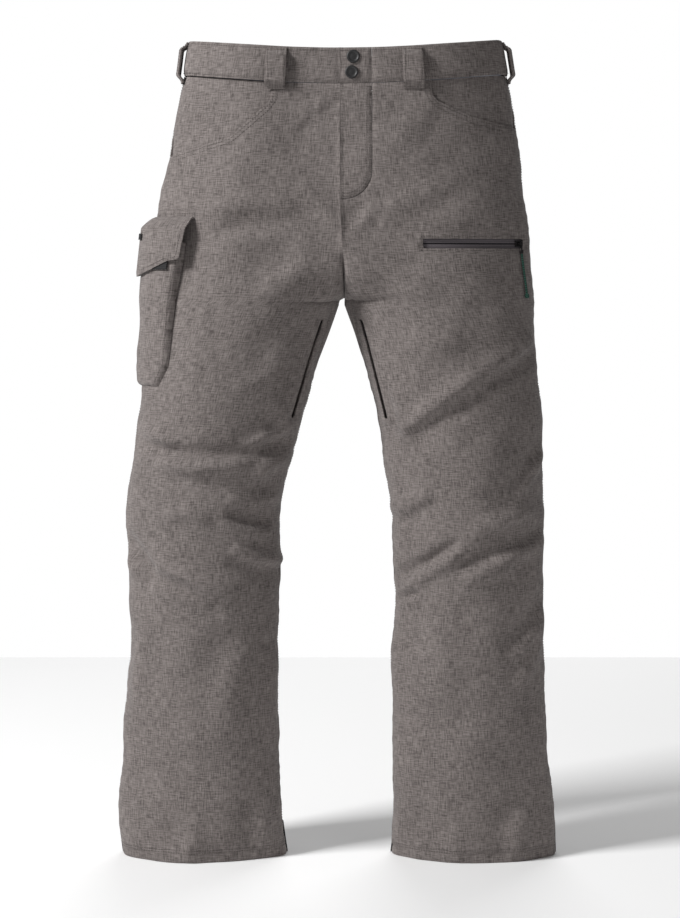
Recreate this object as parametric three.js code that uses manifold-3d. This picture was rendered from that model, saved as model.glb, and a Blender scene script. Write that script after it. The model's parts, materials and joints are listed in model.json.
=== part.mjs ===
// Insulated ski pants, standing as they would on a wearer.
// Millimetres, +Z up, the front faces -Y, the wearer's left is +X.
// Each sewn panel, fastener and pocket is its own mesh. The cloth is cut from one body surface, so that
// whatever lies on it, such as a pocket or a belt loop, follows the same shape at its own depth.
import * as THREE from "three";
import { mergeVertices } from "three/addons/utils/BufferGeometryUtils.js";
import Module from "manifold-3d";

const wasm = await Module();
wasm.setup();

// ---- Driving dimensions --------------------------------------------------------------------------

const HEIGHT = 1090; // hem to the top of the waistband, at the side
const INSEAM = 750; // hem to crotch
const WAIST_WIDTH = 414; // across the top of the waistband
const HIP_WIDTH = 496; // across the seat
const THIGH_WIDTH = 256; // one leg, just under the crotch
const KNEE_WIDTH = 204;
const CALF_WIDTH = 203;
const HEM_WIDTH = 227;
const WAIST_FRONT = 66; // from the side seam forward to the front, at the waist
const CROTCH_FRONT = 81;
const HEM_DEPTH = 56; // from the side seam to the front or back, at the hem
const KNEE_DEPTH = 73;
const WAIST_BACK = 64;
const SEAT_BACK = 100;
const THIGH_BACK = 90;
const SHELL = 3; // outer cloth, insulation and lining, pressed together
const SEAM = 0.6; // gap between two sewn pieces, side by side
const LAP = 0.5; // gap between a piece and the cloth that it lies on

const WAISTBAND_HEIGHT = 46;
const WAISTBAND_THICKNESS = 4;
const FRONT_DIP = 14; // how far the waistband sinks at its middle
const FRONT_FORK = 95; // from the crotch up to where the front is flat across both legs
const BACK_FORK = 160;
const CROTCH_X = 6; // the crotch lies a little to the wearer's left in this stance

const FLY_LENGTH = 148; // below the waistband
const FLY_WIDTH = 41; // from the overlapping edge to the stitched line that it folds on
const FLY_CORNER = 36; // radius of the fly's rounded lower corner
const UNDERLAP_THICKNESS = 2.4;
const FLY_ROOM = 10; // depth behind the placket that the zip and the snaps share
const SNAP_RADIUS = 8.5;
const SNAP_SPACING = 20;
const SNAP_X = 17; // from the overlapping edge

const LOOP_WIDTH = 27;
const LOOP_LENGTH = 53;
const LOOP_THICKNESS = 2.4;
const BELT_ROOM = 8.5; // between a belt loop and the waistband

const ZIP_TAPE_WIDTH = 24;
const ZIP_TAPE_THICKNESS = 0.9;
const ZIP_SPLIT = 1.8; // between the two tapes, for the slider's post
const COIL_WIDTH = 2.2;
const COIL_THICKNESS = 1.8;
const SLIDER_WIDTH = 8.4;
const SLIDER_LENGTH = 11;
const SLIDER_PLATE = 1.2;
const ZIP_CLEARANCE = 0.4;
const PULL_WIDTH = 5;
const VENT_PULL_LENGTH = 16;
const FLY_PULL_LENGTH = 13; // short enough to lie under the placket
const PULL_THICKNESS = 1.2;

const THIGH_ZIP_Z = 824;
const THIGH_ZIP_WINDOW = 12.5; // height of the slot in the cloth that shows the tape
const THIGH_ZIP_LENGTH = 134;
const THIGH_ZIP_ROOM = 2; // between the cloth's lining and the tape, where the leg curves most
const CORD_DIAMETER = 3;
const CORD_LENGTH = 58;

const CARGO_TOP = 859; // where the flap is sewn on
const CARGO_HEIGHT = 222; // from the flap's seam to the bottom of the pocket
const CARGO_FULLNESS = 14; // how far the pocket stands off the leg
const CARGO_FLAP_THICKNESS = 2.4;
const CARGO_REAR = 34; // how far the pocket reaches behind the side seam
const CARGO_FLAP_ROOM = 34; // from the flap's seam down to the mouth
const CARGO_FLAP_DROP = 56; // length of the flap at its front edge
const CARGO_FLAP_POINT = 28; // how much longer it is at the middle
const PATCH_THICKNESS = 0.8;

const VENT_LENGTH = 124;
const VENT_BELOW_CROTCH = 28;
const VENT_WINDOW = 9.5;
const VENT_ANGLE = 38; // degrees forward of the inseam
const GAITER_TOP = 215;
const GAITER_BOTTOM = 28;
const GAITER_THICKNESS = 1.2;
const SCUFF_HEIGHT = 44;
const FACETS = { big: 3, small: 2 }; // flats along the two arcs of each quarter of a section

const FAR = 420; // beyond the object on every side
const MERGE = 0.02; // corners nearer than this are joined
const WAIST_SEAM = HEIGHT - WAISTBAND_HEIGHT;
const RISE = HEIGHT - INSEAM;
const LEFT = 1; // the wearer's left
const RIGHT = -1;

// ---- Materials -----------------------------------------------------------------------------------

const cloth = (color, roughness) => new THREE.MeshStandardMaterial({ color, roughness, metalness: 0 });
const MATERIAL = {
  shell: cloth(0x6f6865, 0.9),
  lining: cloth(0x3b3a3c, 0.8),
  tape: cloth(0x4a444a, 0.55),
  webbing: cloth(0x242324, 0.85),
  mesh: cloth(0x2c2b2e, 0.9),
  cord: cloth(0x24443a, 0.8),
  metal: new THREE.MeshStandardMaterial({ color: 0x2a2828, roughness: 0.4, metalness: 0.7 }),
  plastic: new THREE.MeshStandardMaterial({ color: 0x262425, roughness: 0.5, metalness: 0 }),
};

// ---- Solids --------------------------------------------------------------------------------------

// A closed geometry as a solid. Triangles that lost an edge when their corners were merged are left out.
function solid(geometry) {
  const bare = new THREE.BufferGeometry();
  bare.setAttribute("position", geometry.getAttribute("position"));
  bare.setIndex(geometry.getIndex());
  const merged = mergeVertices(bare, 1e-4);
  const kept = [];
  const index = merged.getIndex().array;
  for (let i = 0; i < index.length; i += 3) {
    const [a, b, c] = index.slice(i, i + 3);
    if (a !== b && b !== c && a !== c) kept.push(a, b, c);
  }
  const mesh = new wasm.Mesh({
    numProp: 3,
    vertProperties: merged.getAttribute("position").array,
    triVerts: new Uint32Array(kept),
  });
  return new wasm.Manifold(mesh);
}

// The largest body of a solid, as a geometry for a mesh.
function geometryOf(made) {
  const [largest] = made.simplify(MERGE).decompose().sort((a, b) => b.volume() - a.volume());
  const { vertProperties, triVerts, numProp, numVert } = largest.getMesh();
  const position = new Float32Array(numVert * 3);
  for (let i = 0; i < numVert; i++) {
    position.set(vertProperties.subarray(i * numProp, i * numProp + 3), i * 3);
  }
  const geometry = new THREE.BufferGeometry();
  geometry.setAttribute("position", new THREE.BufferAttribute(position, 3));
  geometry.setIndex(new THREE.BufferAttribute(triVerts, 1));
  return geometry;
}

function box([x0, x1], [y0, y1], [z0, z1]) {
  const geometry = new THREE.BoxGeometry(x1 - x0, y1 - y0, z1 - z0);
  geometry.translate((x0 + x1) / 2, (y0 + y1) / 2, (z0 + z1) / 2);
  return solid(geometry);
}

function outline(points) {
  return new THREE.Shape(points.map(([u, v]) => new THREE.Vector2(u, v)));
}

// An outline drawn in X and Z, pushed through from y0 to y1.
function prismXZ(shape, [y0, y1]) {
  const geometry = new THREE.ExtrudeGeometry(shape, { depth: y1 - y0, bevelEnabled: false, curveSegments: 6 });
  geometry.rotateX(Math.PI / 2);
  geometry.translate(0, y1, 0);
  return solid(geometry);
}

// An outline drawn in Y and Z, pushed through from x0 to x1.
function prismYZ(shape, [x0, x1]) {
  const geometry = new THREE.ExtrudeGeometry(shape, { depth: x1 - x0, bevelEnabled: false, curveSegments: 6 });
  const along = new THREE.Matrix4().makeBasis(
    new THREE.Vector3(0, 1, 0),
    new THREE.Vector3(0, 0, 1),
    new THREE.Vector3(1, 0, 0),
  );
  geometry.applyMatrix4(along);
  geometry.translate(x0, 0, 0);
  return solid(geometry);
}

// ---- The body surface ----------------------------------------------------------------------------

// A smooth curve through [level, value] points. Level 0 is the hem, 1 the crotch and 2 the waist's top.
function track(points) {
  const slope = points.map((p, i) => {
    const before = points[Math.max(i - 1, 0)];
    const after = points[Math.min(i + 1, points.length - 1)];
    return (after[1] - before[1]) / (after[0] - before[0]);
  });
  return (level) => {
    const at = THREE.MathUtils.clamp(level, points[0][0], points.at(-1)[0]);
    const i = Math.max(0, Math.min(points.length - 2, points.findIndex((p) => p[0] >= at) - 1));
    const [[x0, y0], [x1, y1]] = [points[i], points[i + 1]];
    const width = x1 - x0;
    const t = (at - x0) / width;
    const h = t * t * (3 - 2 * t);
    return y0 + (y1 - y0) * h + width * t * (1 - t) * ((1 - t) * slope[i] - t * slope[i + 1]);
  };
}

const levelOf = (z) => (z <= INSEAM ? z / INSEAM : 1 + (z - INSEAM) / RISE);

const legWidth = track([
  [0, HEM_WIDTH], [0.1, HEM_WIDTH - 6], [0.25, CALF_WIDTH + 5], [0.45, CALF_WIDTH - 2], [0.62, KNEE_WIDTH],
  [0.74, KNEE_WIDTH + 10], [0.86, THIGH_WIDTH - 28], [0.95, THIGH_WIDTH - 14], [1, THIGH_WIDTH],
]);
// Where the middle of each leg stands. The wearer's right leg is set a little wider than the left one.
const legCentre = {
  [LEFT]: track([
    [0, 182], [0.15, 178], [0.3, 173], [0.5, 173], [0.62, 171], [0.72, 165], [0.83, 154], [0.95, 140], [1, 132],
  ]),
  [RIGHT]: track([
    [0, -186], [0.15, -188], [0.3, -185], [0.5, -182], [0.62, -181], [0.72, -172], [0.83, -155], [0.95, -136],
    [1, -128],
  ]),
};
const bodyHalfWidth = track([
  [1, THIGH_WIDTH + 2], [1.25, HIP_WIDTH / 2], [1.45, HIP_WIDTH / 2 - 8], [1.6, HIP_WIDTH / 2 - 18],
  [1.75, WAIST_WIDTH / 2 + 13], [1.88, WAIST_WIDTH / 2 + 6], [2, WAIST_WIDTH / 2],
]);
const bodyCentre = track([[1, 2], [1.3, 2], [1.6, 4.5], [1.8, 7.5], [2, 7]]);
const frontDepth = track([
  [0, HEM_DEPTH], [0.25, HEM_DEPTH + 6], [0.6, KNEE_DEPTH], [0.85, KNEE_DEPTH + 7], [1, CROTCH_FRONT],
  [1.25, WAIST_FRONT + 12.5], [1.5, WAIST_FRONT + 8.3], [1.75, WAIST_FRONT + 4.2], [2, WAIST_FRONT],
]);
const backDepth = track([
  [0, HEM_DEPTH], [0.25, HEM_DEPTH + 8], [0.6, KNEE_DEPTH], [0.85, THIGH_BACK - 4], [1, THIGH_BACK],
  [1.2, SEAT_BACK], [1.45, SEAT_BACK - 4], [1.7, SEAT_BACK - 25], [1.9, WAIST_BACK + 3], [2, WAIST_BACK],
]);
const crestShare = track([[0, 0.5], [0.85, 0.5], [1.15, 0.43], [2, 0.43]]);

// The seam line between the two legs, and the crotch seam above it: x at a height.
const centreLine = track([[0, CROTCH_X], [1, CROTCH_X], [1.2, CROTCH_X * 0.5], [1.4, 0], [2, 0]]);

// How far the cloth has come out from the crotch at a height: 0 at the crotch, 1 above the fork.
function forkShare(z, fork) {
  const h = THREE.MathUtils.clamp((z - INSEAM) / fork, 0, 1);
  return Math.sqrt(1 - (1 - h) ** 2);
}

// A quarter of a section, from its crest (0, b) to its side (a, 0), as two arcs that meet smoothly.
// depth moves it inwards along its own normals, or outwards if it is negative.
function quarter(a, b, depth) {
  const bigRadius = (a * (a + b)) / (2 * b);
  const smallRadius = (b * b) / a;
  const turn = Math.atan2(a - smallRadius, bigRadius - b);
  const points = [];
  for (let i = 0; i <= FACETS.big; i++) {
    const angle = (turn * i) / FACETS.big;
    const r = bigRadius - depth;
    points.push([r * Math.sin(angle), b - bigRadius + r * Math.cos(angle)]);
  }
  for (let i = 1; i <= FACETS.small; i++) {
    const angle = turn + ((Math.PI / 2 - turn) * i) / FACETS.small;
    const r = smallRadius - depth;
    points.push([a - smallRadius + r * Math.sin(angle), r * Math.cos(angle)]);
  }
  return points;
}

// The numbers that shape one side of the body at a height.
function station(side, z) {
  const level = levelOf(z);
  const forked = z > INSEAM;
  const middle = centreLine(level);
  const leg = legCentre[side](level);
  const outer = forked ? bodyCentre(level) + side * bodyHalfWidth(level) : leg + (side * legWidth(level)) / 2;
  const open = leg - (side * legWidth(level)) / 2;
  const nearest = middle + (side * SEAM) / 2;
  const inner = forked ? middle : side * Math.max(side * open, side * nearest);
  const crest = inner + (outer - inner) * crestShare(level);
  return { outer, inner, crest, front: frontDepth(level), back: backDepth(level), forked };
}

// One closed section of one side, anticlockwise from above.
function section(side, z, depth) {
  const at = station(side, z);
  const reach = Math.abs(at.outer - at.crest);
  const inset = Math.abs(at.crest - at.inner);
  const loop = [];
  const outerPart = (b, sign) =>
    quarter(reach, b, depth).map(([x, y]) => [at.crest + side * x, sign * y]);
  const innerPart = (b, sign, fork) => {
    const flat = forkShare(z, fork);
    const edge = quarter(inset, b, 0);
    return quarter(inset, b, depth).map(([x, y], i) => [
      at.crest - side * (at.forked ? edge[i][0] * (1 + 0.25 / inset) : x),
      sign * (flat * (b - depth) + (1 - flat) * y),
    ]);
  };
  loop.push(...innerPart(at.front, -1, FRONT_FORK).reverse());
  loop.push(...outerPart(at.front, -1).slice(1));
  loop.push(...outerPart(at.back, 1).reverse().slice(1));
  loop.push(...innerPart(at.back, 1, BACK_FORK).slice(1));
  const points = loop.map(([x, y]) => new THREE.Vector3(x, y, z));
  return side > 0 ? points : points.reverse();
}

// A closed solid through sections that have the same number of points.
function loft(sections) {
  const count = sections[0].length;
  const position = sections.flat().flatMap((p) => [p.x, p.y, p.z]);
  const index = [];
  for (let row = 0; row < sections.length - 1; row++) {
    for (let i = 0; i < count; i++) {
      const a = row * count + i;
      const b = row * count + ((i + 1) % count);
      index.push(a, b, b + count, a, b + count, a + count);
    }
  }
  [[0, false], [sections.length - 1, true]].forEach(([row, top]) => {
    const centre = position.length / 3;
    const middle = sections[row].reduce((sum, p) => sum.add(p), new THREE.Vector3()).divideScalar(count);
    position.push(middle.x, middle.y, middle.z);
    for (let i = 0; i < count; i++) {
      const a = row * count + i;
      const b = row * count + ((i + 1) % count);
      index.push(centre, ...(top ? [a, b] : [b, a]));
    }
  });
  const geometry = new THREE.BufferGeometry();
  geometry.setAttribute("position", new THREE.BufferAttribute(new Float32Array(position), 3));
  geometry.setIndex(index);
  return solid(geometry);
}

const OVERRUN = 12; // the surfaces run past the hem and the waist, and are trimmed later
const legRows = [
  0, GAITER_BOTTOM + 30, GAITER_TOP - 90, GAITER_TOP,
  ...[0.4, 0.5, 0.6, 0.7, 0.79, 0.88, 0.95, 1].map((f) => f * INSEAM),
];
const forkRows = [0.08, 0.21, 0.42, 0.7, 1].map((f) => INSEAM + f * FRONT_FORK);
const upperSteps = 4;
const upperRows = Array.from({ length: upperSteps }, (_, i) => {
  const start = INSEAM + FRONT_FORK;
  return start + ((HEIGHT - start) * (i + 1)) / upperSteps;
});
const ROWS = [-OVERRUN, ...legRows, ...forkRows, ...upperRows, HEIGHT + OVERRUN];

// One side of the body as a solid, moved inwards by depth: a number, or a function of the height.
// Near the crotch the rows rise with the depth, so that the cloth keeps its thickness there.
function half(side, depth, rows = ROWS) {
  const depthAt = typeof depth === "function" ? depth : () => depth;
  const sections = rows.map((z) => {
    const d = depthAt(z);
    const loop = section(side, z, d);
    const nearCrotch = z >= INSEAM && z < INSEAM + FRONT_FORK;
    const lift = nearCrotch ? d * (1 - (z - INSEAM) / FRONT_FORK) : 0;
    return loop.map((p) => p.setZ(p.z + lift));
  });
  return loft(sections);
}

const body = (depth) => half(LEFT, depth).add(half(RIGHT, depth));

// The cloth between two depths.
const layer = (outerDepth, innerDepth) => body(outerDepth).subtract(body(innerDepth));
const sideLayer = (side, outerDepth, innerDepth, rows) =>
  half(side, outerDepth, rows).subtract(half(side, innerDepth, rows));

// ---- Lines that the cloth is cut along -----------------------------------------------------------

// The waistband's edges sink towards the middle of the front and back.
function dipAt(x) {
  const share = THREE.MathUtils.clamp(x / (WAIST_WIDTH / 2), -1, 1);
  return FRONT_DIP * (1 - share * share);
}

// Everything above a line that lies height below the waistband's top at the sides.
function above(height) {
  const steps = 10;
  const line = Array.from({ length: steps + 1 }, (_, i) => {
    const x = THREE.MathUtils.lerp(-FAR, FAR, i / steps);
    const near = THREE.MathUtils.lerp(-WAIST_WIDTH / 2, WAIST_WIDTH / 2, i / steps);
    return i === 0 || i === steps ? [x, HEIGHT - height] : [near, HEIGHT - height - dipAt(near)];
  });
  return prismXZ(outline([...line, [FAR, HEIGHT + FAR], [-FAR, HEIGHT + FAR]]), [-FAR, FAR]);
}

const inFront = box([-FAR, FAR], [-FAR, -SEAM / 2], [-FAR, HEIGHT + FAR]);
const behind = box([-FAR, FAR], [SEAM / 2, FAR], [-FAR, HEIGHT + FAR]);

// Everything on one side of the centre seam.
function onSide(side) {
  const line = [];
  for (let z = -OVERRUN; z <= HEIGHT + OVERRUN; z += 25) {
    line.push([centreLine(levelOf(z)) + (side * SEAM) / 2, z]);
  }
  const last = line.at(-1)[1];
  return prismXZ(outline([...line, [side * FAR, last], [side * FAR, -OVERRUN]]), [-FAR, FAR]);
}

// The fly's outline: straight along its edge and its fold, and rounded at the lower corner.
function flyShape(grow, top) {
  const bottom = WAIST_SEAM - FRONT_DIP - FLY_LENGTH - grow;
  const shape = new THREE.Shape();
  shape.moveTo(-grow, top);
  shape.lineTo(-grow, bottom);
  shape.absarc(FLY_WIDTH + grow - FLY_CORNER, bottom + FLY_CORNER, FLY_CORNER, -Math.PI / 2, 0, false);
  shape.lineTo(FLY_WIDTH + grow, top);
  return shape;
}
const flyPrism = (grow, top = HEIGHT + FAR) => prismXZ(flyShape(grow, top), [-FAR, -SEAM]);

// The scooped mouth of a hand pocket, from the waistband to the side seam.
function scoopShape(side, grow) {
  const top = WAIST_SEAM + 10;
  const x = side === LEFT ? 117 : 88;
  const drop = side === LEFT ? 36 : 42;
  const end = side === LEFT ? 72 : 116;
  const points = [
    [x - grow, top], [x + 2 - grow, WAIST_SEAM - drop + 8], [x + 9 - grow, WAIST_SEAM - drop - grow],
    [x + 55, WAIST_SEAM - drop - (end - drop) * 0.55 - grow], [FAR, WAIST_SEAM - end - (FAR - 230) * 0.22 - grow],
    [FAR, top],
  ];
  return outline(points.map(([u, v]) => [side * u, v]));
}
const scoop = (side, grow) => prismXZ(scoopShape(side, grow), [-FAR, -SEAM / 2]);

// The crotch gusset: a lens seen from the side and from the front.
function gussetRegion(grow) {
  const sideView = outline([
    [0, INSEAM - 118 - grow], [26 + grow, INSEAM - 48], [38 + grow, INSEAM - 4], [84 + grow, INSEAM + 74 + grow],
    [-70 - grow, INSEAM + 62 + grow], [-28 - grow, INSEAM - 4], [-18 - grow, INSEAM - 48],
  ]);
  const frontView = outline([
    [CROTCH_X, INSEAM + 84 + grow], [CROTCH_X + 34 + grow, INSEAM + 6], [CROTCH_X + 92 + grow, INSEAM - 130],
    [CROTCH_X - 92 - grow, INSEAM - 130], [CROTCH_X - 34 - grow, INSEAM + 6],
  ]);
  return prismYZ(sideView, [CROTCH_X - 100, CROTCH_X + 100]).intersect(prismXZ(frontView, [-FAR, FAR]));
}

// ---- The assembly --------------------------------------------------------------------------------

const pants = new THREE.Group();

function add(name, made, material, parent = pants) {
  const mesh = new THREE.Mesh(made.isBufferGeometry ? made : geometryOf(made), material);
  mesh.name = name;
  parent.add(mesh);
  return mesh;
}

const cloth3d = layer(0, SHELL);
const aboveSeam = above(WAISTBAND_HEIGHT - SEAM / 2);
const aboveBand = above(WAISTBAND_HEIGHT + SEAM / 2);
const aboveTop = above(0);
const underHem = box([-FAR, FAR], [-FAR, FAR], [-FAR, 0]);
const name = { [LEFT]: "left", [RIGHT]: "right" };

// A point on the outside of the cloth, and the outward normal there. angle is measured from the front of the
// quarter that faces the given way, in degrees: 0 is the crest and 90 the side.
function onSurface(side, z, angle, inwards, depth = 0) {
  const at = station(side, z);
  const facing = inwards ? -side : side;
  const a = Math.abs((inwards ? at.inner : at.outer) - at.crest);
  const b = at.front;
  const bigRadius = (a * (a + b)) / (2 * b);
  const smallRadius = (b * b) / a;
  const turn = Math.atan2(a - smallRadius, bigRadius - b);
  const phi = THREE.MathUtils.degToRad(angle);
  const onBig = phi <= turn;
  const r = (onBig ? bigRadius : smallRadius) - depth;
  const cx = onBig ? 0 : a - smallRadius;
  const cy = onBig ? b - bigRadius : 0;
  const point = new THREE.Vector3(
    at.crest + facing * (cx + r * Math.sin(phi)), -(cy + r * Math.cos(phi)), z);
  const normal = new THREE.Vector3(facing * Math.sin(phi), -Math.cos(phi), 0);
  return { point, normal, bigRadius, turn, crest: at.crest, front: b };
}

// ---- Zips ----------------------------------------------------------------------------------------
// A zip is drawn lying along +Z, with its outer face towards -Y and the tape's outer face at y = 0.
// The tapes are joined by a stop at each end; between the stops a split lets the slider's post through.

function zipTape(length, width = ZIP_TAPE_WIDTH) {
  const halfLength = length / 2 + SLIDER_LENGTH / 2 + 3;
  const tape = box([-width / 2, width / 2], [0, ZIP_TAPE_THICKNESS], [-halfLength, halfLength]);
  const coilTop = ZIP_TAPE_THICKNESS + COIL_THICKNESS;
  const coils = [-1, 1].map((s) => {
    const [near, far] = [ZIP_SPLIT / 2, ZIP_SPLIT / 2 + COIL_WIDTH].map((x) => x * s).sort((a, b) => a - b);
    return box([near, far], [ZIP_TAPE_THICKNESS - 0.2, coilTop], [-halfLength + 2, halfLength - 2]);
  });
  const room = length / 2 + SLIDER_LENGTH / 2 + ZIP_CLEARANCE;
  const split = box([-ZIP_SPLIT / 2, ZIP_SPLIT / 2], [-1, coilTop + 1], [-room, room]);
  return tape.add(coils[0]).add(coils[1]).subtract(split);
}

// The slider: a plate on each face of the tape, joined by the post, and a bar for the pull.
function zipSlider() {
  const w = SLIDER_WIDTH / 2;
  const l = SLIDER_LENGTH / 2;
  const post = ZIP_SPLIT / 2 - ZIP_CLEARANCE / 2;
  const outer = -ZIP_CLEARANCE - SLIDER_PLATE;
  const inner = ZIP_TAPE_THICKNESS + COIL_THICKNESS + ZIP_CLEARANCE;
  const front = box([-w, w], [outer, -ZIP_CLEARANCE], [-l, l]);
  const rear = box([-w + 1, w - 1], [inner, inner + SLIDER_PLATE], [-l, l]);
  const web = box([-post, post], [-ZIP_CLEARANCE - 0.2, inner + 0.2], [-l + 1, l - 1]);
  const bridge = box([-0.8, 0.8], [outer - 2.8, outer + 0.2], [-l + 2, l - 2]);
  const eye = box([-1, 1], [outer - 2, outer + 0.1], [-l + 3.4, l - 3.4]);
  return front.add(rear).add(web).add(bridge.subtract(eye));
}

// Where the pull's bar lies, from the slider's middle.
const PULL_AXIS_Y = -ZIP_CLEARANCE - SLIDER_PLATE - 1.15;

// The pull hangs down from the slider's eye: a flat tab with a slot that goes over the bridge.
function zipPull(length) {
  const w = PULL_WIDTH / 2;
  const t = PULL_THICKNESS / 2;
  const tab = box([-w, w], [PULL_AXIS_Y - t, PULL_AXIS_Y + t], [-length, -4.5]);
  const arms = [-1, 1].map((s) => {
    const [near, far] = [1.4, w].map((x) => x * s).sort((a, b) => a - b);
    return box([near, far], [PULL_AXIS_Y - t, PULL_AXIS_Y + t], [-4.7, 0.6]);
  });
  const pin = box([-w + 0.2, w - 0.2], [PULL_AXIS_Y - 0.5, PULL_AXIS_Y + 0.5], [-0.5, 0.5]);
  return tab.add(arms[0]).add(arms[1]).add(pin);
}

// ---- Cloth panels --------------------------------------------------------------------------------

// A frame on the inner thigh: +Z up along the leg, -Y out of the cloth.
function ventFrame(side) {
  const z0 = INSEAM - VENT_BELOW_CROTCH - VENT_LENGTH;
  const low = onSurface(side, z0, 90 - VENT_ANGLE, true).point;
  const high = onSurface(side, z0 + VENT_LENGTH, 90 - VENT_ANGLE, true).point;
  const middle = onSurface(side, z0 + VENT_LENGTH / 2, 90 - VENT_ANGLE, true);
  const up = high.clone().sub(low).normalize();
  const across = middle.normal.clone().negate().cross(up).normalize();
  const into = up.clone().cross(across).normalize();
  const frame = new THREE.Group();
  frame.position.copy(low).lerp(high, 0.5);
  frame.quaternion.setFromRotationMatrix(new THREE.Matrix4().makeBasis(across, into, up));
  frame.updateMatrixWorld();
  return frame;
}
const VENT_FRAME = { [LEFT]: ventFrame(LEFT), [RIGHT]: ventFrame(RIGHT) };

function ventWindow(side) {
  const length = VENT_LENGTH / 2 + SLIDER_LENGTH / 2 + 1;
  const hole = new THREE.BoxGeometry(VENT_WINDOW, 40, 2 * length);
  hole.applyMatrix4(VENT_FRAME[side].matrixWorld);
  return solid(hole);
}

// The thigh zip runs along the big arc of the left leg's front.
const zipArc = onSurface(LEFT, THIGH_ZIP_Z, 0, false);
const ZIP_RADIUS = zipArc.bigRadius;
const ZIP_CENTRE = new THREE.Vector3(zipArc.crest, -(zipArc.front - zipArc.bigRadius), THIGH_ZIP_Z);
const THIGH_ZIP_START = 1.5; // degrees outward of the crest, at the zip's inner end

function thighWindow() {
  const reach = (THIGH_ZIP_LENGTH + SLIDER_LENGTH + 2) / ZIP_RADIUS;
  const start = THREE.MathUtils.degToRad(THIGH_ZIP_START) - (SLIDER_LENGTH / 2 + 1) / ZIP_RADIUS;
  const [near, far] = [start, start + reach].map((a) => ZIP_CENTRE.x + ZIP_RADIUS * Math.sin(a));
  const h = THIGH_ZIP_WINDOW / 2;
  return box([near, far], [-FAR, -20], [THIGH_ZIP_Z - h, THIGH_ZIP_Z + h]);
}

function addPanels() {
  const cut = cloth3d.subtract(aboveBand).subtract(underHem);
  const gussetHole = gussetRegion(SEAM);
  const bare = cut.subtract(gussetHole);
  [LEFT, RIGHT].forEach((side) => {
    let front = bare.intersect(inFront).intersect(onSide(side)).subtract(scoop(side, 0));
    front = front.subtract(ventWindow(side));
    if (side === LEFT) front = front.subtract(flyPrism(SEAM)).subtract(thighWindow());
    add(`front_panel_${name[side]}`, front, MATERIAL.shell);
    add(`back_panel_${name[side]}`, bare.intersect(behind).intersect(onSide(side)), MATERIAL.shell);
  });
  add("crotch_gusset", cut.intersect(gussetRegion(0)), MATERIAL.shell);
}

function addWaistband() {
  const ring = layer(0, WAISTBAND_THICKNESS).intersect(aboveSeam).subtract(aboveTop);
  const gap = prismXZ(outline([[-SEAM, 0], [FLY_WIDTH + SEAM, 0], [FLY_WIDTH + SEAM, FAR * 4], [-SEAM, FAR * 4]]),
    [-FAR, -SEAM]);
  add("waistband", ring.subtract(gap), MATERIAL.shell);
  const inside = layer(WAISTBAND_THICKNESS + LAP, WAISTBAND_THICKNESS + LAP + 1)
    .intersect(above(WAISTBAND_HEIGHT - 3)).subtract(above(3));
  const flyRoom = box([-22, FLY_WIDTH + 6], [-FAR, -SEAM], [0, HEIGHT + FAR]);
  add("waistband_facing", inside.subtract(flyRoom), MATERIAL.lining);
}

// ---- The fly -------------------------------------------------------------------------------------

// The front is flat where the fly is, and leans a little. Its frame lies on the outside of the cloth,
// with +Z up along the front and -Y out of it.
const LEAN = Math.atan2(12.5, RISE * 0.75);
const flyFrame = new THREE.Group();
flyFrame.position.set(0, -WAIST_FRONT, HEIGHT);
flyFrame.rotation.x = -LEAN;

function addFly() {
  const placket = cloth3d.intersect(inFront).subtract(aboveBand).intersect(flyPrism(0));
  add("fly_placket", placket, MATERIAL.shell);
  const ring = layer(0, WAISTBAND_THICKNESS).intersect(aboveSeam).subtract(aboveTop);
  add("waistband_tab", ring.intersect(flyPrism(0)), MATERIAL.shell);

  pants.add(flyFrame);
  const deep = SHELL + FLY_ROOM;
  const high = -FRONT_DIP - 4;
  const low = -WAISTBAND_HEIGHT - FRONT_DIP - FLY_LENGTH - 4;
  // The underlap lies against the back of the right front, then steps in to leave room for the zip.
  const profile = outline([
    [-20, WAISTBAND_THICKNESS + LAP], [-5, WAISTBAND_THICKNESS + LAP], [-1, deep], [FLY_WIDTH - 3, deep],
    [FLY_WIDTH - 3, deep + UNDERLAP_THICKNESS], [-3, deep + UNDERLAP_THICKNESS],
    [-7, WAISTBAND_THICKNESS + LAP + UNDERLAP_THICKNESS], [-20, WAISTBAND_THICKNESS + LAP + UNDERLAP_THICKNESS],
  ]);
  const underlap = new THREE.ExtrudeGeometry(profile, { depth: high - low, bevelEnabled: false });
  underlap.translate(0, 0, low);
  add("fly_underlap", solid(underlap), MATERIAL.shell, flyFrame);

  const zipLength = FLY_LENGTH - 26;
  const zipX = 13;
  const tapeY = deep - LAP - COIL_THICKNESS - ZIP_TAPE_THICKNESS - ZIP_CLEARANCE - SLIDER_PLATE - 0.2;
  const zipTop = -WAISTBAND_HEIGHT - FRONT_DIP - SLIDER_LENGTH - 5;
  const frame = new THREE.Group();
  frame.position.set(zipX, tapeY, zipTop - zipLength / 2);
  flyFrame.add(frame);
  add("fly_zip_tape", zipTape(zipLength, ZIP_TAPE_WIDTH - 4), MATERIAL.tape, frame);
  const slider = new THREE.Group();
  slider.position.z = zipLength / 2;
  frame.add(slider);
  add("fly_zip_slider", zipSlider(), MATERIAL.metal, slider);
  add("fly_zip_pull", zipPull(FLY_PULL_LENGTH), MATERIAL.metal, slider);
}

// ---- Snaps ---------------------------------------------------------------------------------------

function turned(profile, sides = 16) {
  const geometry = new THREE.LatheGeometry(profile.map(([r, y]) => new THREE.Vector2(r, y)), sides);
  return geometry;
}

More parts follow.
